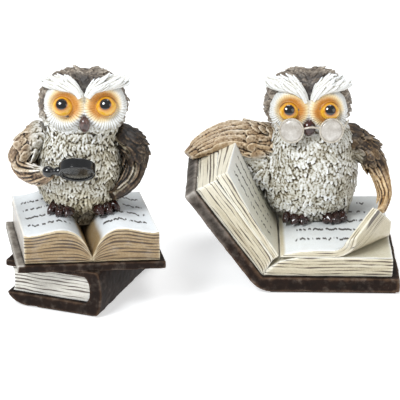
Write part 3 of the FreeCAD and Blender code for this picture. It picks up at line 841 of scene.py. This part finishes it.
def shag(tree, centre, levels, gap, rng, length, width, within):
    """Rows of ragged tufts all round at the levels, a gap apart, lying downwards and straying. Each tuft is a
    few strands that fan out from one root."""
    girth, strands, stray, thick, lift = 2 * math.pi * 26, 4, 0.55, 0.7, 0.45
    roots, aims, ups, size = [], [], [], []
    for row, z in enumerate(levels):
        around = int(girth / gap)
        for k in range(around):
            a = 2 * math.pi * (k + 0.5 * (row % 2) + rng.uniform(-0.35, 0.35)) / around
            d = (math.cos(a), math.sin(a), 0.0)
            p, n = cast(tree, (*centre, z + rng.uniform(-1.8, 1.8)), d)
            if p is None or abs(n[2]) > 0.93 or not within(p):
                continue
            across = unit(np.cross(n, [0, 0, 1.0]))
            aim = np.array([0, 0, -1.0]) + across * rng.normal(0, stray)
            up = n + rng.normal(0, 0.1, 3)
            big = rng.uniform(0.6, 1.35)
            for j in range(strands):
                fan = (j - (strands - 1) / 2) + rng.uniform(-0.2, 0.2)
                roots.append(p - n * 0.35 + across * fan * width * 0.9)
                ups.append(unit(up + across * (fan * 0.16 + rng.normal(0, 0.1))))
                aims.append(aim + across * fan * 0.24)
                size.append(big * (rng.uniform(0.75, 1.1) - 0.08 * abs(fan)))
    size = np.array(size)
    return petals(roots, aims, ups, length * size, width * (0.5 + 0.5 * size), thick, lift)[0]


def collar_of(name, centre, top):
    """What fills the step between the breast and the head."""
    lo, hi = node_box(f"{name}_owl_body")
    radius = (hi[0] - lo[0]) / 2 * 0.76
    middle = centre_of(f"{name}_owl_head")[:2]
    path = [(*centre, top - 6), (*centre, top - 0.5), (*middle, top + 5), (*middle, top + 9)]
    wide, deep = [radius * 0.98, radius, 23.0, 23.0], [radius * 0.98, radius, 19.5, 18.0]
    return ribbons([path], (0, 1.0, 0), wide, deep, 48)


def armpit_of(centre, low):
    """The fluff under the raised wing."""
    t = np.linspace(0, 1, 6)
    path = np.array([centre[0] - 24, centre[1] - 7, low + 33]) + np.array([-21.0, 0, 17.0]) * t[:, None]
    wide = np.interp(t, [0, 1], [11, 7])
    return ribbons([path], (0, 1.0, 0), wide, wide * 0.8, 24)


# How each owl's breast is feathered: where the lowest row is, from row to row and from tuft to tuft, the
# tufts' length and half width, how much painted shade darkens it low down, how much darker its tone is all
# over, and how high the soot reaches.
BREASTS = {
    "lens": {"start": 8.5, "rows": 3.0, "gap": 4.6, "length": 7.6, "width": 1.05, "low": 1.0, "all": 0.3,
             "soot": 19},
    "specs": {"start": 8.0, "rows": 3.5, "gap": 6.2, "length": 8.4, "width": 1.6, "low": 0.2, "all": 0.0,
              "soot": 15},
}


def body_look(name, seed, face):
    """The breast: shaggy feathers up under the face. Browner and darker behind, and low down and to the right as
    painted shade.
    """
    node, breast = f"{name}_owl_body", BREASTS[name]
    lo, hi = node_box(node)
    rng = np.random.default_rng(seed)
    cx, cy = (lo[0] + hi[0]) / 2, (lo[1] + hi[1]) / 2
    chin = face[2] - CHIN_DROP

    def within(p):
        return p[2] < hi[2] + 0.5 or (p[2] < chin and p[1] < face[1] + 16)

    levels = np.arange(lo[2] + breast["start"], hi[2] + 9.0, breast["rows"])
    extra = [collar_of(name, (cx, cy), hi[2])]
    fluff = [armpit_of((cx, cy), lo[2])] if name == "specs" else []
    tree = tree_of([cad_mesh(node), cad_mesh(f"{name}_owl_head")] + extra + fluff)
    tufts = shag(tree, (cx, cy), levels, breast["gap"], rng, breast["length"], breast["width"], within)
    skin = Skin([cad_mesh(node)] + extra + [tufts] + fluff, 0.42)
    skin.push(0.2 * noise(skin.co, 1.5, seed) + 0.12 * noise(skin.co, 0.8, seed + 1))
    relief = 1.1 * skin.relief(6, 0.3) + 0.4 * skin.relief(22, 0.8) + 0.06
    relief = deepened(relief, 2.0) + 0.3 * noise(skin.co, 5.0, seed + 5)
    x, y, z = skin.co.T
    # Painted shade: more olive low down and to the right, away from the key lamp. Behind, and all over on the
    # lens owl, the olive is the feathers' own tone.
    tone_and_shade = ramp(hi[2] - z, 24, 58) * breast["low"] + ramp(x - cx, 4, 26) * 0.35 + breast["all"]
    tone_and_shade = tone_and_shade + ramp(y - cy, -4, 14) * 0.8 + 0.45 * noise(skin.co, 8.0, seed) - 0.05
    dark = ramp(lo[2] + breast["soot"] - z, 0, 9) * 0.55 + ramp(y - cy, 4, 22) * 0.45
    skin.piece(node, "belly_feathers", BELLY, relief=relief, zone=tone_and_shade, patch=dark)


def head_look(name, seed, face):
    """The crown: small untidy feathers swept back, nearly black between the brows, white under the face."""
    node = f"{name}_owl_head"
    lo, hi = node_box(node)
    tree = tree_of([cad_mesh(node)])
    rng = np.random.default_rng(seed)
    below_crown, count, covered = 22.4, 640, 1.75
    centre = np.array([(lo[0] + hi[0]) / 2, (lo[1] + hi[1]) / 2, hi[2] - below_crown])
    roots, aims, ups = [], [], []
    for k in range(count):
        z = 1 - (k + 0.5) * covered / count
        a = k * GOLDEN_ANGLE + rng.uniform(-0.05, 0.05)
        r = math.sqrt(max(0, 1 - z * z))
        d = unit([r * math.cos(a), r * math.sin(a), z])
        p, n = cast(tree, centre + np.array([d[0] * 5.2, 0, 0]), d)
        if p is None or n[2] < -0.85:
            continue
        roots.append(p - n * 0.3)
        ups.append(unit(n + rng.normal(0, 0.14, 3)))
        side = 0.9 if p[0] > face[0] else -0.9
        aims.append(np.array([side, 0.7, 0.1 if d[2] > 0.3 else -0.8]) + rng.normal(0, 0.3, 3))
    size = rng.uniform(0.6, 1.4, len(roots))
    feathers = petals(roots, aims, ups, 5.4 * size, 1.2 + 0.45 * size, 0.62, 0.55)[0]
    skin = Skin([cad_mesh(node), feathers], 0.42)
    skin.push(0.16 * noise(skin.co, 1.2, seed))
    relief = 1.1 * skin.relief(6, 0.26) + 0.12 + 0.25 * noise(skin.co, 7.0, seed + 3)
    x, y, z = skin.co.T
    wedge = ramp(13.0 - np.abs(x - face[0] - 0.1 * (y - face[1])), 0, 5) * ramp(face[1] + 20 - y, 0, 8)
    chin = ramp(face[2] - 8 - z, 0, 6) * ramp(face[1] + 18 - y, 0, 10)
    skin.piece(node, "head_feathers", CROWN, relief=relief, zone=wedge, patch=chin)


def face_look(name, side, seed, face):
    """A facial disc: a saucer round the eye whose lower half is ridged like petals."""
    node, sign = f"{name}_owl_face_{side}", SIGN[side]
    forward = unit([sign * 0.2, -1.0, 0.06])
    right = unit(np.cross(forward, [0, 0, 1]))
    up = np.cross(right, forward)
    back, inner, behind, steps, turns, ridges = 4.4, 5.9, 16.0, 34, 360, 46
    phi = np.arange(turns) * 2 * math.pi / turns
    s = np.linspace(0, 1, steps)[:, None]
    x = (phi + 0.04 * np.sin(phi * 3 + seed) + 0.02 * np.sin(phi * 7 + 2 * seed)) / (2 * math.pi) * ridges
    which = np.floor(x)
    bump = np.abs(np.sin(math.pi * x)) ** 0.7
    outward, down = np.cos(phi) * sign, np.clip(-np.sin(phi), 0, 1)
    low = np.clip(0.45 - np.sin(phi), 0, 1)
    reach = 14.7 + 0.8 * np.clip(outward, 0, 1) - 1.6 * np.clip(-outward, 0, 1) ** 2 + 1.2 * down
    outer = reach * (1 + (0.02 + 0.05 * low) * (chance(which, seed) - 0.5)) * (0.985 + 0.025 * bump * low)
    rho = inner + (outer - inner) * s
    height = 0.8 + 1.5 * np.sin(math.pi * np.clip(s - 0.12, 0, 1) * 0.8) - 4.8 * s**4
    height = height + 0.9 * np.exp(-((s / 0.1) ** 2))
    ridge = (0.12 + 0.62 * s * low) * (bump - 0.6)
    height = height + ridge + 0.3 * (chance(which, seed + 4) - 0.5) * low * s
    plane = eye_centre(face, side) - forward * 0.6

    def ring(radius, lift):
        across = right * (radius * np.cos(phi))[..., None] + up * (radius * np.sin(phi))[..., None]
        return (plane + across + forward * lift[..., None]).reshape(-1, 3)

    flat = np.zeros(turns)
    points = np.concatenate([ring(flat + back, flat - 3.0), ring(rho, height), ring(outer * 0.8, flat - 8.0)])
    # The last ring joins the first behind the disc.
    faces = [quad[::-1] for quad in ring_faces([*range(steps + 2), 0], turns)]
    skin = Skin([(points, faces)])
    skin.co = skin.co + 0.1 * noise(skin.co, 3.0, seed)[:, None] * forward

    def spread(first, middle, last):
        return np.concatenate([flat + first, middle.ravel(), flat + last])

    out = spread(back, rho, behind)
    halo = np.tile(9.8 + 2.4 * outward - 0.9 * down + 0.8 * np.sin(phi), steps + 2)
    skin.piece(node, "facial_disc", DISC, relief=spread(0, ridge * 2.4, 0) + 0.1,
               zone=ramp(out - halo, -3.4, 4.2), lid=ramp(6.1 - out, 0, 0.12))


def eye_look(name, side, gaze, face):
    """A ball whose iris has painted shade under the brow."""
    node, centre, gaze = f"{name}_owl_eye_{side}", eye_centre(face, side), unit(gaze)
    turned = np.linspace(0.002, math.pi - 0.002, 60)
    profile = [(EYE_RADIUS * math.sin(a), EYE_RADIUS * math.cos(a)) for a in turned]
    skin = Skin([lathe(profile, centre, gaze, 64)])
    angle = np.degrees(np.arccos(np.clip(unit(skin.co - centre) @ gaze, -1, 1)))
    up = np.clip((skin.co[:, 2] - centre[2]) / EYE_RADIUS, 0, 1)
    # The upper iris is pushed towards the ramp's dark brown: painted shade from the brow.
    shaded = angle / 100 + 0.3 * ramp(up, 0.1, 0.8) * ramp(angle, 33, 40)
    skin.piece(node, "eye", EYE, out=shaded)


# How far each owl's brows stand out, and how high above the eyes they are from the beak to the ear.
BROW_SHAPES = {"lens": (0.62, (6.0, 11.6, 13.4, 13.2, 13.0)), "specs": (1.0, (5.9, 12.4, 15.9, 15.8, 15.4))}
# A brow's stations: (out, back), half width, half thickness, how far its width direction is turned up.
BROW_STATIONS = (((1.8, -0.2), 1.9, 1.4, 0.3), ((5.8, 2.0), 4.6, 2.4, 0.3), ((12.4, 5.3), 6.4, 2.8, 0.25),
                 ((20.5, 8.9), 5.2, 2.4, 0.15), ((27.4, 12.0), 1.9, 1.2, 0.1))


def brow_look(name, side, seed, face):
    """White tufts that rise from beside the beak, arch over the eye and sweep out to a point at the ear."""
    node, sign = f"{name}_owl_brow_{side}", SIGN[side]
    deep, heights = BROW_SHAPES[name]
    brow = Wing(np.array(face) - np.array([0, 10 * (1 - deep), 0]), np.array(face), [
        ((sign * x, y, z), wide * deep, thick, (0, 1, turn))
        for ((x, y), wide, thick, turn), z in zip(BROW_STATIONS, heights)
    ])
    rng = np.random.default_rng(seed)
    k = np.linspace(0, 1, 12)
    taper = np.interp(k, [0, 0.15, 0.5, 0.8, 0.94, 1], [0.5, 0.9, 1, 0.75, 0.35, 0.08])
    paths, ups, widths = [], [], []
    for _ in range(44):
        turn = rng.uniform(25, 225)  # round the front and the top
        s0 = rng.uniform(0.0, 0.72)
        s1 = min(1.05, s0 + rng.uniform(0.24, 0.42))
        place, out = brow.at(s0 + (s1 - s0) * k, turn - 30 * k, 0.1 + rng.uniform(0.6, 2.0) * k**2)
        paths.append(place + np.array([sign * 0.6, 0, 2.4]) * (k**3)[:, None])
        ups.append(out)
        widths.append(rng.uniform(0.8, 1.3) * taper)
    tufts = ribbons(paths, ups, widths, np.interp(k, [0, 0.5, 0.9, 1], [0.7, 0.9, 0.6, 0.15]))
    skin = Skin([cad_mesh(node), tufts], 0.32)
    skin.push(0.1 * noise(skin.co, 1.3, seed))
    relief = 1.4 * skin.relief(6, 0.22) + 0.05
    skin.piece(node, "brow_feathers", BROWS, relief=relief, zone=relief * 0 + 0.1)


def beak_look(name, material, wide, face):
    node = f"{name}_owl_beak"
    lo, hi = node_box(node)
    t = np.linspace(0, 1, 16)
    top, tip = hi[2] + 0.8, lo[2] - 0.5
    hooked = lo[1] + 2.8 - 2.4 * np.sin(math.pi * t**0.8 * 0.8)
    path = np.stack([face[0] + 0 * t, hooked, top + (tip - top) * t], 1)
    width = wide * np.interp(t, [0, 0.2, 0.5, 0.8, 0.95, 1], [0.3, 0.85, 1.0, 0.7, 0.34, 0.08])
    thick = 3.0 * np.interp(t, [0, 0.3, 0.7, 1], [0.6, 1.0, 0.8, 0.15])
    skin = Skin([ribbons([path], (0, -1.0, 0.2), width, thick, 20), cad_mesh(node)], 0.3, smooth=3)
    skin.piece(node, "beak", material)


def foot_look(name, side):
    """Three toes with curved claws."""
    node = f"{name}_owl_foot_{side}"
    points, _ = cad_mesh(node)
    lo, hi = points.min(0), points.max(0)
    middle = (lo + hi) / 2
    ahead = middle - centre_of(f"{name}_owl_body")
    aim = unit([ahead[0] * 0.8, ahead[1], 0])
    across = np.array([-aim[1], aim[0], 0])
    t = np.linspace(0, 1, 12)
    radius = np.interp(t, [0, 0.3, 0.5, 0.62, 0.7, 0.9, 1], [2.9, 2.9, 3.1, 2.6, 2.1, 1.3, 0.3])
    meshes = [cad_mesh(node)]
    for step in (-1, 0, 1):
        start = middle + across * step * 4.6 - aim * 5.0
        end = middle + across * step * 6.4 + aim * (7.6 - abs(step) * 1.0)
        path = start + (end - start) * t[:, None]
        path[:, 2] = lo[2] + 3.2 + 1.3 * np.sin(math.pi * t * 0.8) - 3.3 * t**4
        meshes.append(ribbons([path], (0, 0, 1.0), radius, radius * 0.95, 14))
    skin = Skin(meshes, 0.34, smooth=2)
    skin.piece(node, "claw", CLAW)


class Wing:
    """A wing or brow as a curved band: stations of (centre, half width, half thickness, width direction)."""

    samples = 80

    def __init__(self, anchor, body, stations):
        fine = np.linspace(0, len(stations) - 1, self.samples)

        def bend(values):
            values = np.asarray(values, float)
            first = np.minimum(fine.astype(int), len(values) - 2)
            g = (fine - first).reshape((-1,) + (1,) * (values.ndim - 1))
            a, b = values[np.maximum(first - 1, 0)], values[first]
            c, d = values[first + 1], values[np.minimum(first + 2, len(values) - 1)]
            curve = 2 * b + (c - a) * g + (2 * a - 5 * b + 4 * c - d) * g**2 + (3 * b - a - 3 * c + d) * g**3
            return 0.5 * curve

        self.centre = bend([anchor + np.array(s[0]) for s in stations])
        self.half = bend([[s[1]] for s in stations])
        self.thick = bend([[s[2]] for s in stations])
        wide = bend([s[3] for s in stations])
        along = unit(np.gradient(self.centre, axis=0))
        self.wide = unit(wide - along * (wide * along).sum(1, keepdims=True))
        self.thin = np.cross(along, self.wide)
        if ((self.centre[30:50] - body) * self.thin[30:50]).sum() < 0:
            self.thin = -self.thin
        self.usual_half, self.usual_thick = self.half[20:60].mean(), self.thick[20:60].mean()

    def at(self, s, angle, lift):
        """Points at s (0 shoulder to 1 tip) and an angle round the section, lifted off it, and the direction
        out there. 90 degrees is the outer side, 180 the front edge."""
        s = np.clip(np.asarray(s, float), 0, 1.06) * (self.samples - 1)
        i = np.minimum(s.astype(int), self.samples - 2)
        g = (s - i)[..., None]

        def mix(values):
            return values[i] * (1 - g) + values[i + 1] * g

        angle = np.radians(np.broadcast_to(angle, s.shape))[..., None]
        lift = np.broadcast_to(lift, s.shape)[..., None]
        wide, thin, half, thick = unit(mix(self.wide)), unit(mix(self.thin)), mix(self.half), mix(self.thick)
        out = unit(wide * np.cos(angle) * thick + thin * np.sin(angle) * half)
        return mix(self.centre) + wide * half * np.cos(angle) + thin * thick * np.sin(angle) + out * lift, out

    def spread(self, count, a0, a1):
        """Angles from a0 to a1 evenly spaced round the section's outline, and the spacing in millimetres."""
        a = np.linspace(a0, a1, 200)
        step = np.hypot(self.usual_half * np.sin(np.radians(a)), self.usual_thick * np.cos(np.radians(a)))
        length = np.cumsum((step[1:] + step[:-1]) / 2 * math.radians(abs(a[1] - a[0])))
        length = np.concatenate([[0], length])
        return np.interp(np.linspace(0, length[-1], count), length, a), length[-1] / (count - 1)

    def quills(self, count, s0, s1, a0, a1, width, ragged, seed, lift):
        """Long feathers side by side from s0 to about s1, over angles a0 to a1, each with one edge raised."""
        k = np.linspace(0, 1, 18)
        taper = np.interp(k, [0, 0.1, 0.5, 0.8, 0.94, 1], [0.5, 0.85, 1.0, 0.92, 0.6, 0.12])
        angles, gap = self.spread(count, a0, a1)
        paths, ups, widths = [], [], []
        for i, angle in enumerate(angles):
            s = s0 + (s1 - ragged * chance(i, seed) - s0) * k
            place, out = self.at(s, angle, lift + 0.5 * k**2)
            scale = np.interp(s, np.linspace(0, 1, self.samples), (self.half / self.usual_half)[:, 0])
            beside = unit(self.at(s, angle + 8, lift)[0] - place)
            paths.append(place)
            ups.append(unit(out + beside * 0.65))
            widths.append(gap * 0.5 * scale * width * taper)
        thick = np.interp(k, [0, 0.5, 0.9, 1], [0.7, 0.95, 0.75, 0.25])
        return ribbons(paths, ups, widths, thick), np.array(paths)

    def coverts(self, s0, s1, rows, count, a0, a1, length, seed, lift):
        """Rows of short feathers that overlap like tiles."""
        rng = np.random.default_rng(seed)
        angles, _ = self.spread(count, a0, a1)
        a, s = [], []
        for r in range(rows):
            for angle in angles:
                a.append(angle + (a1 - a0) / count * (0.5 * (r % 2) + rng.uniform(-0.12, 0.12)))
                s.append(s0 + (s1 - s0) * r / (rows - 1) + rng.uniform(-0.015, 0.015))
        a, s = np.array(a), np.array(s)
        place, out = self.at(s, a, lift)
        ahead, _ = self.at(s + 0.06, a, lift)
        size = rng.uniform(0.8, 1.25, len(a))
        ups = unit(out + rng.normal(0, 0.14, out.shape))
        return petals(place, ahead - place, ups, length * size, length * 0.34 * size, 0.85, 1.2)


def wing_look(node, layers, material, slot, seed, paint, voxel=0.42):
    """layers are (mesh, feather lines) pairs. paint gives (zone, patch) from the points, how far along its
    feather each is, and that feather's own chance."""
    skin = Skin([cad_mesh(node)] + [mesh for mesh, _ in layers], voxel)
    skin.push(0.14 * noise(skin.co, 1.4, seed) + 0.08 * noise(skin.co, 0.8, seed + 1))
    relief = 1.1 * skin.relief(7, 0.3) + 0.4 * skin.relief(24, 0.9) + 0.05
    relief = deepened(relief, 1.7) + 0.15 * noise(skin.co, 3.0, seed + 2)
    values = []
    for i, (_, lines) in enumerate(layers):
        count, k = lines.shape[:2]
        tone = np.repeat(chance(np.arange(count), seed + i), k)
        values.append(np.stack([np.tile(np.linspace(0, 1, k), count), tone], 1))
    lines = np.concatenate([lines.reshape(-1, 3) for _, lines in layers])
    zone, patch = paint(skin.co, *skin.nearest(lines, np.concatenate(values)).T)
    skin.piece(node, slot, material, relief=relief, zone=zone, patch=patch)


def tail_look(name):
    """Five feathers fanned out."""
    node = f"{name}_owl_tail"
    lo, hi = node_box(node)
    x, t = (lo[0] + hi[0]) / 2, np.linspace(0, 1, 10)
    paths, ups = [], []
    for lean in (-1.0, -0.5, 0.0, 0.5, 1.0):
        start = np.array([x + lean * 3.0, lo[1] + 2.0, hi[2] - 1.0])
        end = np.array([x + lean * 6.0, hi[1] - 1.2 - abs(lean) * 1.0, lo[2] + 1.5 + abs(lean) * 2.0])
        path = start + (end - start) * t[:, None]
        path[:, 1] += 1.5 * np.sin(math.pi * t)
        paths.append(path)
        ups.append([[lean * 0.3, 1.0, 0.1]])
    width = 2.2 * np.interp(t, [0, 0.3, 0.8, 1], [0.7, 1, 1, 0.4])
    skin = Skin([cad_mesh(node), ribbons(paths, ups, width, 0.9)], 0.42)
    relief = skin.relief(7, 0.3)
    skin.piece(node, "wing_feathers", BLACK_WING, relief=relief, zone=relief * 0 + 0.5, patch=relief * 0)


def owl(name, beak, beak_width, gaze, seed):
    """Everything of an owl but its wings."""
    left, right = (node_box(f"{name}_owl_eye_{side}") for side in SIGN)
    face = ((left[0][0] + right[1][0]) / 2, left[0][1] + EYE_TO_FACE, (left[0][2] + left[1][2]) / 2)
    body_look(name, seed, face)
    head_look(name, seed + 1, face)
    for i, side in enumerate(SIGN):
        face_look(name, side, seed + 2 + i, face)
        eye_look(name, side, gaze, face)
        brow_look(name, side, seed + 4 + i, face)
        foot_look(name, side)
    beak_look(name, beak, beak_width, face)
    tail_look(name)


def lens_owl():
    owl("lens", GREY_BEAK, 3.6, [-0.05, -1.0, 0.6], 40)
    lo, hi = node_box("lens_owl_body")
    anchor = np.array([(lo[0] + hi[0]) / 2, (lo[1] + hi[1]) / 2, lo[2] + 4.0])
    body = (lo + hi) / 2
    left = Wing(anchor, body, [
        ((-21, 1, 56), 9, 5.0, (0.2, 1, 0)),
        ((-31, 0, 48), 15, 7.0, (0.1, 1, 0)),
        ((-34, -3, 39), 15, 7.0, (0.1, 1, -0.2)),
        ((-31.5, -13, 33), 12, 6.0, (0.5, 1, -0.5)),
        ((-24, -25, 34), 7, 4.6, (0.9, 0.3, -0.8)),
        ((-16, -33, 38.5), 3.5, 2.8, (0.6, 0.1, -1)),
    ])
    layers = [
        left.quills(11, 0.3, 1.0, 20, 250, 1.0, 0.2, 3, 0.1),
        left.quills(9, 0.2, 0.64, 20, 240, 1.0, 0.18, 9, 1.1),
        left.coverts(0.0, 0.36, 5, 9, 10, 250, 9.5, 5, 1.0),
    ]

    def tan(p, along, tone):
        x, _, z = (p - anchor).T
        pale = ramp(x, -33, -27) * ramp(z, 36, 42) * 0.8
        return 0.85 * (tone > 0.62) * (0.4 + 0.6 * along) + 0.25 * (1 - along) - 0.1, pale

    wing_look("lens_owl_wing_left", layers, TAN_WING, "wing_feathers", 60, tan)
    right = Wing(anchor, body, [
        ((23, 1, 55), 9, 5.0, (-0.2, 1, 0)),
        ((33, 1, 46), 14, 7.0, (-0.1, 1, 0)),
        ((35, -2, 34), 13, 6.4, (-0.1, 1, -0.2)),
        ((30, -11, 24), 10, 5.2, (-0.5, 1, -0.5)),
        ((21, -21, 19), 4, 3.0, (-0.5, 1, -0.5)),
    ])
    layers = [
        right.quills(12, 0.28, 1.0, 20, 250, 0.95, 0.2, 3, 0.1),
        right.quills(10, 0.18, 0.7, 20, 240, 0.95, 0.2, 9, 0.9),
        right.coverts(0.02, 0.3, 5, 11, 10, 250, 7.5, 6, 0.6),
    ]

    def dark(p, along, tone):
        front = right.at(np.linspace(0.05, 1.0, 50), 198.0, 0.5)[0]
        near = np.min(np.linalg.norm(p[:, None] - front[None], axis=2), axis=1)
        return 0.2 * (tone > 0.7) * along, ramp(1.9 - near, 0, 1.2) * 0.8

    wing_look("lens_owl_wing_right", layers, BLACK_WING, "dark_wing_feathers", 61, dark)


def magnifier():
    """A thick glossy black ring about a dark domed lens, with a short knobbed handle."""
    hub = centre_of("magnifier_rim")
    axis = unit([0.0, -0.695, -0.719])
    ring = lathe(ring_profile(11.5, 9.6, 3.5, 0.9), hub, axis, 96)
    Skin([ring]).piece("magnifier_rim", "black_gloss", BLACK)
    dome = [(0.01, 3.5), (3.0, 3.4), (6.0, 3.1), (8.6, 2.6), (9.8, 2.2), (9.8, -2.2), (6.0, -2.9), (0.01, -3.3)]
    Skin([lathe(dome, hub, axis, 72)]).piece("magnifier_glass", "lens_face", GLASS)
    knob = [(0.01, -6.2), (1.6, -6.0), (2.9, -5.0), (3.6, -3.2), (3.6, -1.6), (2.9, -0.2), (2.1, 0.8),
            (2.0, 1.6), (2.7, 2.6), (3.0, 4.0), (3.0, 6.4), (0.01, 6.6)]
    handle = lathe(knob, centre_of("magnifier_handle"), [1.0, -0.08, 0.04], 48)
    Skin([handle]).piece("magnifier_handle", "black_gloss", BLACK)


def specs_owl():
    owl("specs", BEAK, 4.6, [0.02, -1.0, 0.5], 80)
    lo, hi = node_box("specs_owl_body")
    anchor = np.array([(lo[0] + hi[0]) / 2 + 1.0, (lo[1] + hi[1]) / 2 + 2.0, lo[2] + 5.0])
    body = (lo + hi) / 2
    left = Wing(anchor, body, [
        ((-22, 1, 43), 14, 12.0, (0, 1, 0.1)),
        ((-38, 0, 48), 15, 9.0, (0, 1, 0.15)),
        ((-56, -4, 53), 14, 5.0, (0, 1, 0.2)),
        ((-72, -7, 48.5), 13, 3.6, (0.1, 1, 0.2)),
        ((-84, -12, 42.5), 8, 2.2, (0.2, 1, 0.2)),
    ])
    layers = [
        left.quills(9, 0.42, 1.02, 20, 205, 0.95, 0.16, 3, 0.1),
        left.quills(8, 0.28, 0.78, 20, 200, 0.95, 0.18, 9, 1.0),
        left.quills(8, 0.14, 0.5, 20, 200, 1.0, 0.16, 12, 1.8),
        left.coverts(0.0, 0.26, 4, 10, 10, 215, 9.5, 5, 1.4),
        left.coverts(0.0, 0.42, 7, 9, 200, 300, 7.5, 6, 0.2),
    ]

    def tan(p, along, tone):
        x, y, z = (p - anchor).T
        grey = ramp(z, 50, 60) + ramp(y, -2, 10)
        fluff = ramp(47 - z + 0.1 * (x + 30), 0, 6) * ramp(x, -60, -48)
        return 0.7 * (tone > 0.55) * (1 - along) + 0.6 * grey - 0.1, fluff

    wing_look("specs_owl_wing_left", layers, GOLD_WING, "wing_feathers", 90, tan, 0.46)
    right = Wing(anchor, body, [
        ((20, 1, 52), 11, 8.0, (0, 1, 0.1)),
        ((34, -1, 45), 13, 7.4, (-0.1, 1, 0)),
        ((44.5, -9, 32), 10, 5.4, (-0.1, 1, -0.1)),
        ((48.0, -24, 20), 7.0, 3.6, (-0.1, 1, -0.2)),
        ((43.5, -39, 12.5), 3.4, 2.6, (-0.2, 1, -0.3)),
    ])
    layers = [
        right.quills(12, 0.36, 1.0, 20, 290, 0.95, 0.16, 3, 0.1),
        right.quills(10, 0.2, 0.72, 20, 230, 0.95, 0.2, 9, 0.8),
        right.coverts(0.0, 0.36, 6, 12, 10, 250, 8.0, 6, 0.8),
        right.coverts(0.0, 0.34, 5, 7, 240, 320, 6.5, 7, 0.1),
    ]

    def dark(p, along, tone):
        x, y, z = (p - anchor).T
        golden = ramp(40 - z, 0, 12) * ramp(-4 - y, 0, 5)
        inner = ramp(36 - x, 0, 5) * ramp(2 - y, 0, 5) * ramp(50 - z, 0, 6)
        return golden * (0.6 + 0.4 * tone) + 0.3 * (tone > 0.55) * (1 - along), inner * 0.8

    wing_look("specs_owl_wing_right", layers, DARK_WING, "dark_wing_feathers", 91, dark)


WIRE_RADIUS = 0.65


def spectacles():
    """Round wire rims with pearly lenses, a bridge and two short arms."""
    rims, arms, hubs = [], [], []
    lo, hi = node_box("spectacle_frame")
    k = np.linspace(0, 1, 12)
    circle = [(7.8 + 0.6 * math.cos(a), 0.6 * math.sin(a)) for a in np.linspace(0, 2 * math.pi, 13)]
    dome = [(0.01, 1.5), (3.0, 1.3), (6.0, 0.7), (7.5, 0.1), (7.5, -0.3), (4.0, 0.2), (0.01, 0.5)]
    for side, sign in SIGN.items():
        node = f"spectacle_lens_{side}"
        hub = centre_of(node)
        hubs.append(hub)
        facing = unit([sign * 0.18, -1.0, 0.2])
        rims.append(lathe(circle, hub, facing, 72))
        Skin([lathe(dome, hub, facing, 64)]).piece(node, "spectacle_lens", PEARL)
        start = hub + np.array([sign * 7.9, 0.6, 1.0])
        end = np.array([lo[0] + 0.8 if sign < 0 else hi[0] - 0.8, hi[1] - 0.6, hub[2] + 3.6])
        arm = start + (end - start) * k[:, None]
        arms.append(ribbons([arm], (0, 0, 1.0), WIRE_RADIUS, WIRE_RADIUS))
    start, end = hubs[0] + [7.4, 0, 1.2], hubs[1] + [-7.4, 0, 1.2]
    rise = np.sin(math.pi * k)
    arch = start + (end - start) * k[:, None] + np.stack([0 * k, -1.2 * rise, 1.6 * rise], 1)
    bridge = ribbons([arch], (0, -1.0, 0.1), WIRE_RADIUS, WIRE_RADIUS)
    Skin(rims + [bridge] + arms).piece("spectacle_frame", "spectacle_wire", WIRE)


# ---- Stage ----


def stage():
    me, half = bpy.data.meshes.new("floor"), 4.0
    me.from_pydata([(-half, -half, 0), (half, -half, 0), (half, half, 0), (-half, half, 0)], [], [(0, 1, 2, 3)])
    me.materials.append(floor_paint())
    floor = bpy.data.objects.new("floor", me)
    bpy.context.scene.collection.objects.link(floor)
    world = bpy.data.worlds.new("studio")
    world.use_nodes = True
    sky = world.node_tree.nodes["Background"].inputs
    sky["Color"].default_value = (0.94, 0.97, 1.0, 1.0)
    sky["Strength"].default_value = 0.44
    bpy.context.scene.world = world
    lamp("key", (-0.6, -0.7, 0.95), 0.4, 12.6, (0.95, 0.98, 1.0))
    lamp("top", (0.05, 0.2, 1.2), 0.6, 6.5, (1.0, 1.0, 1.0))
    lamp("fill", (0.8, -0.6, 0.5), 0.6, 1.6, (1.0, 0.96, 0.9))
    target, tilt = Vector((-0.0017, -0.0255, 0.062)), math.radians(22.5)
    camera = bpy.data.objects.new("camera", bpy.data.cameras.new("camera"))
    camera.location = target + Vector((0, -math.cos(tilt), math.sin(tilt)))
    camera.rotation_euler = (math.pi / 2 - tilt, 0, 0)
    camera.data.lens, camera.data.sensor_width = 139.5, 36.0
    bpy.context.scene.collection.objects.link(camera)
    bpy.context.scene.camera = camera
    bpy.context.scene.view_settings.view_transform = "Standard"


def lamp(name, place, size, power, colour):
    data = bpy.data.lights.new(name, "AREA")
    data.size, data.energy, data.color = size, power, colour
    ob = bpy.data.objects.new(name, data)
    ob.location = place
    ob.rotation_euler = (Vector((0, 0, 0.07)) - Vector(place)).to_track_quat("-Z", "Y").to_euler()
    bpy.context.scene.collection.objects.link(ob)


closed_book()
open_book()
leaning_book()
lens_owl()
magnifier()
specs_owl()
spectacles()
for pad in ("lens_felt_pad", "specs_felt_pad"):
    frame["nodes"][pad].data.materials.clear()
    frame["nodes"][pad].data.materials.append(felt_paint())
stage()
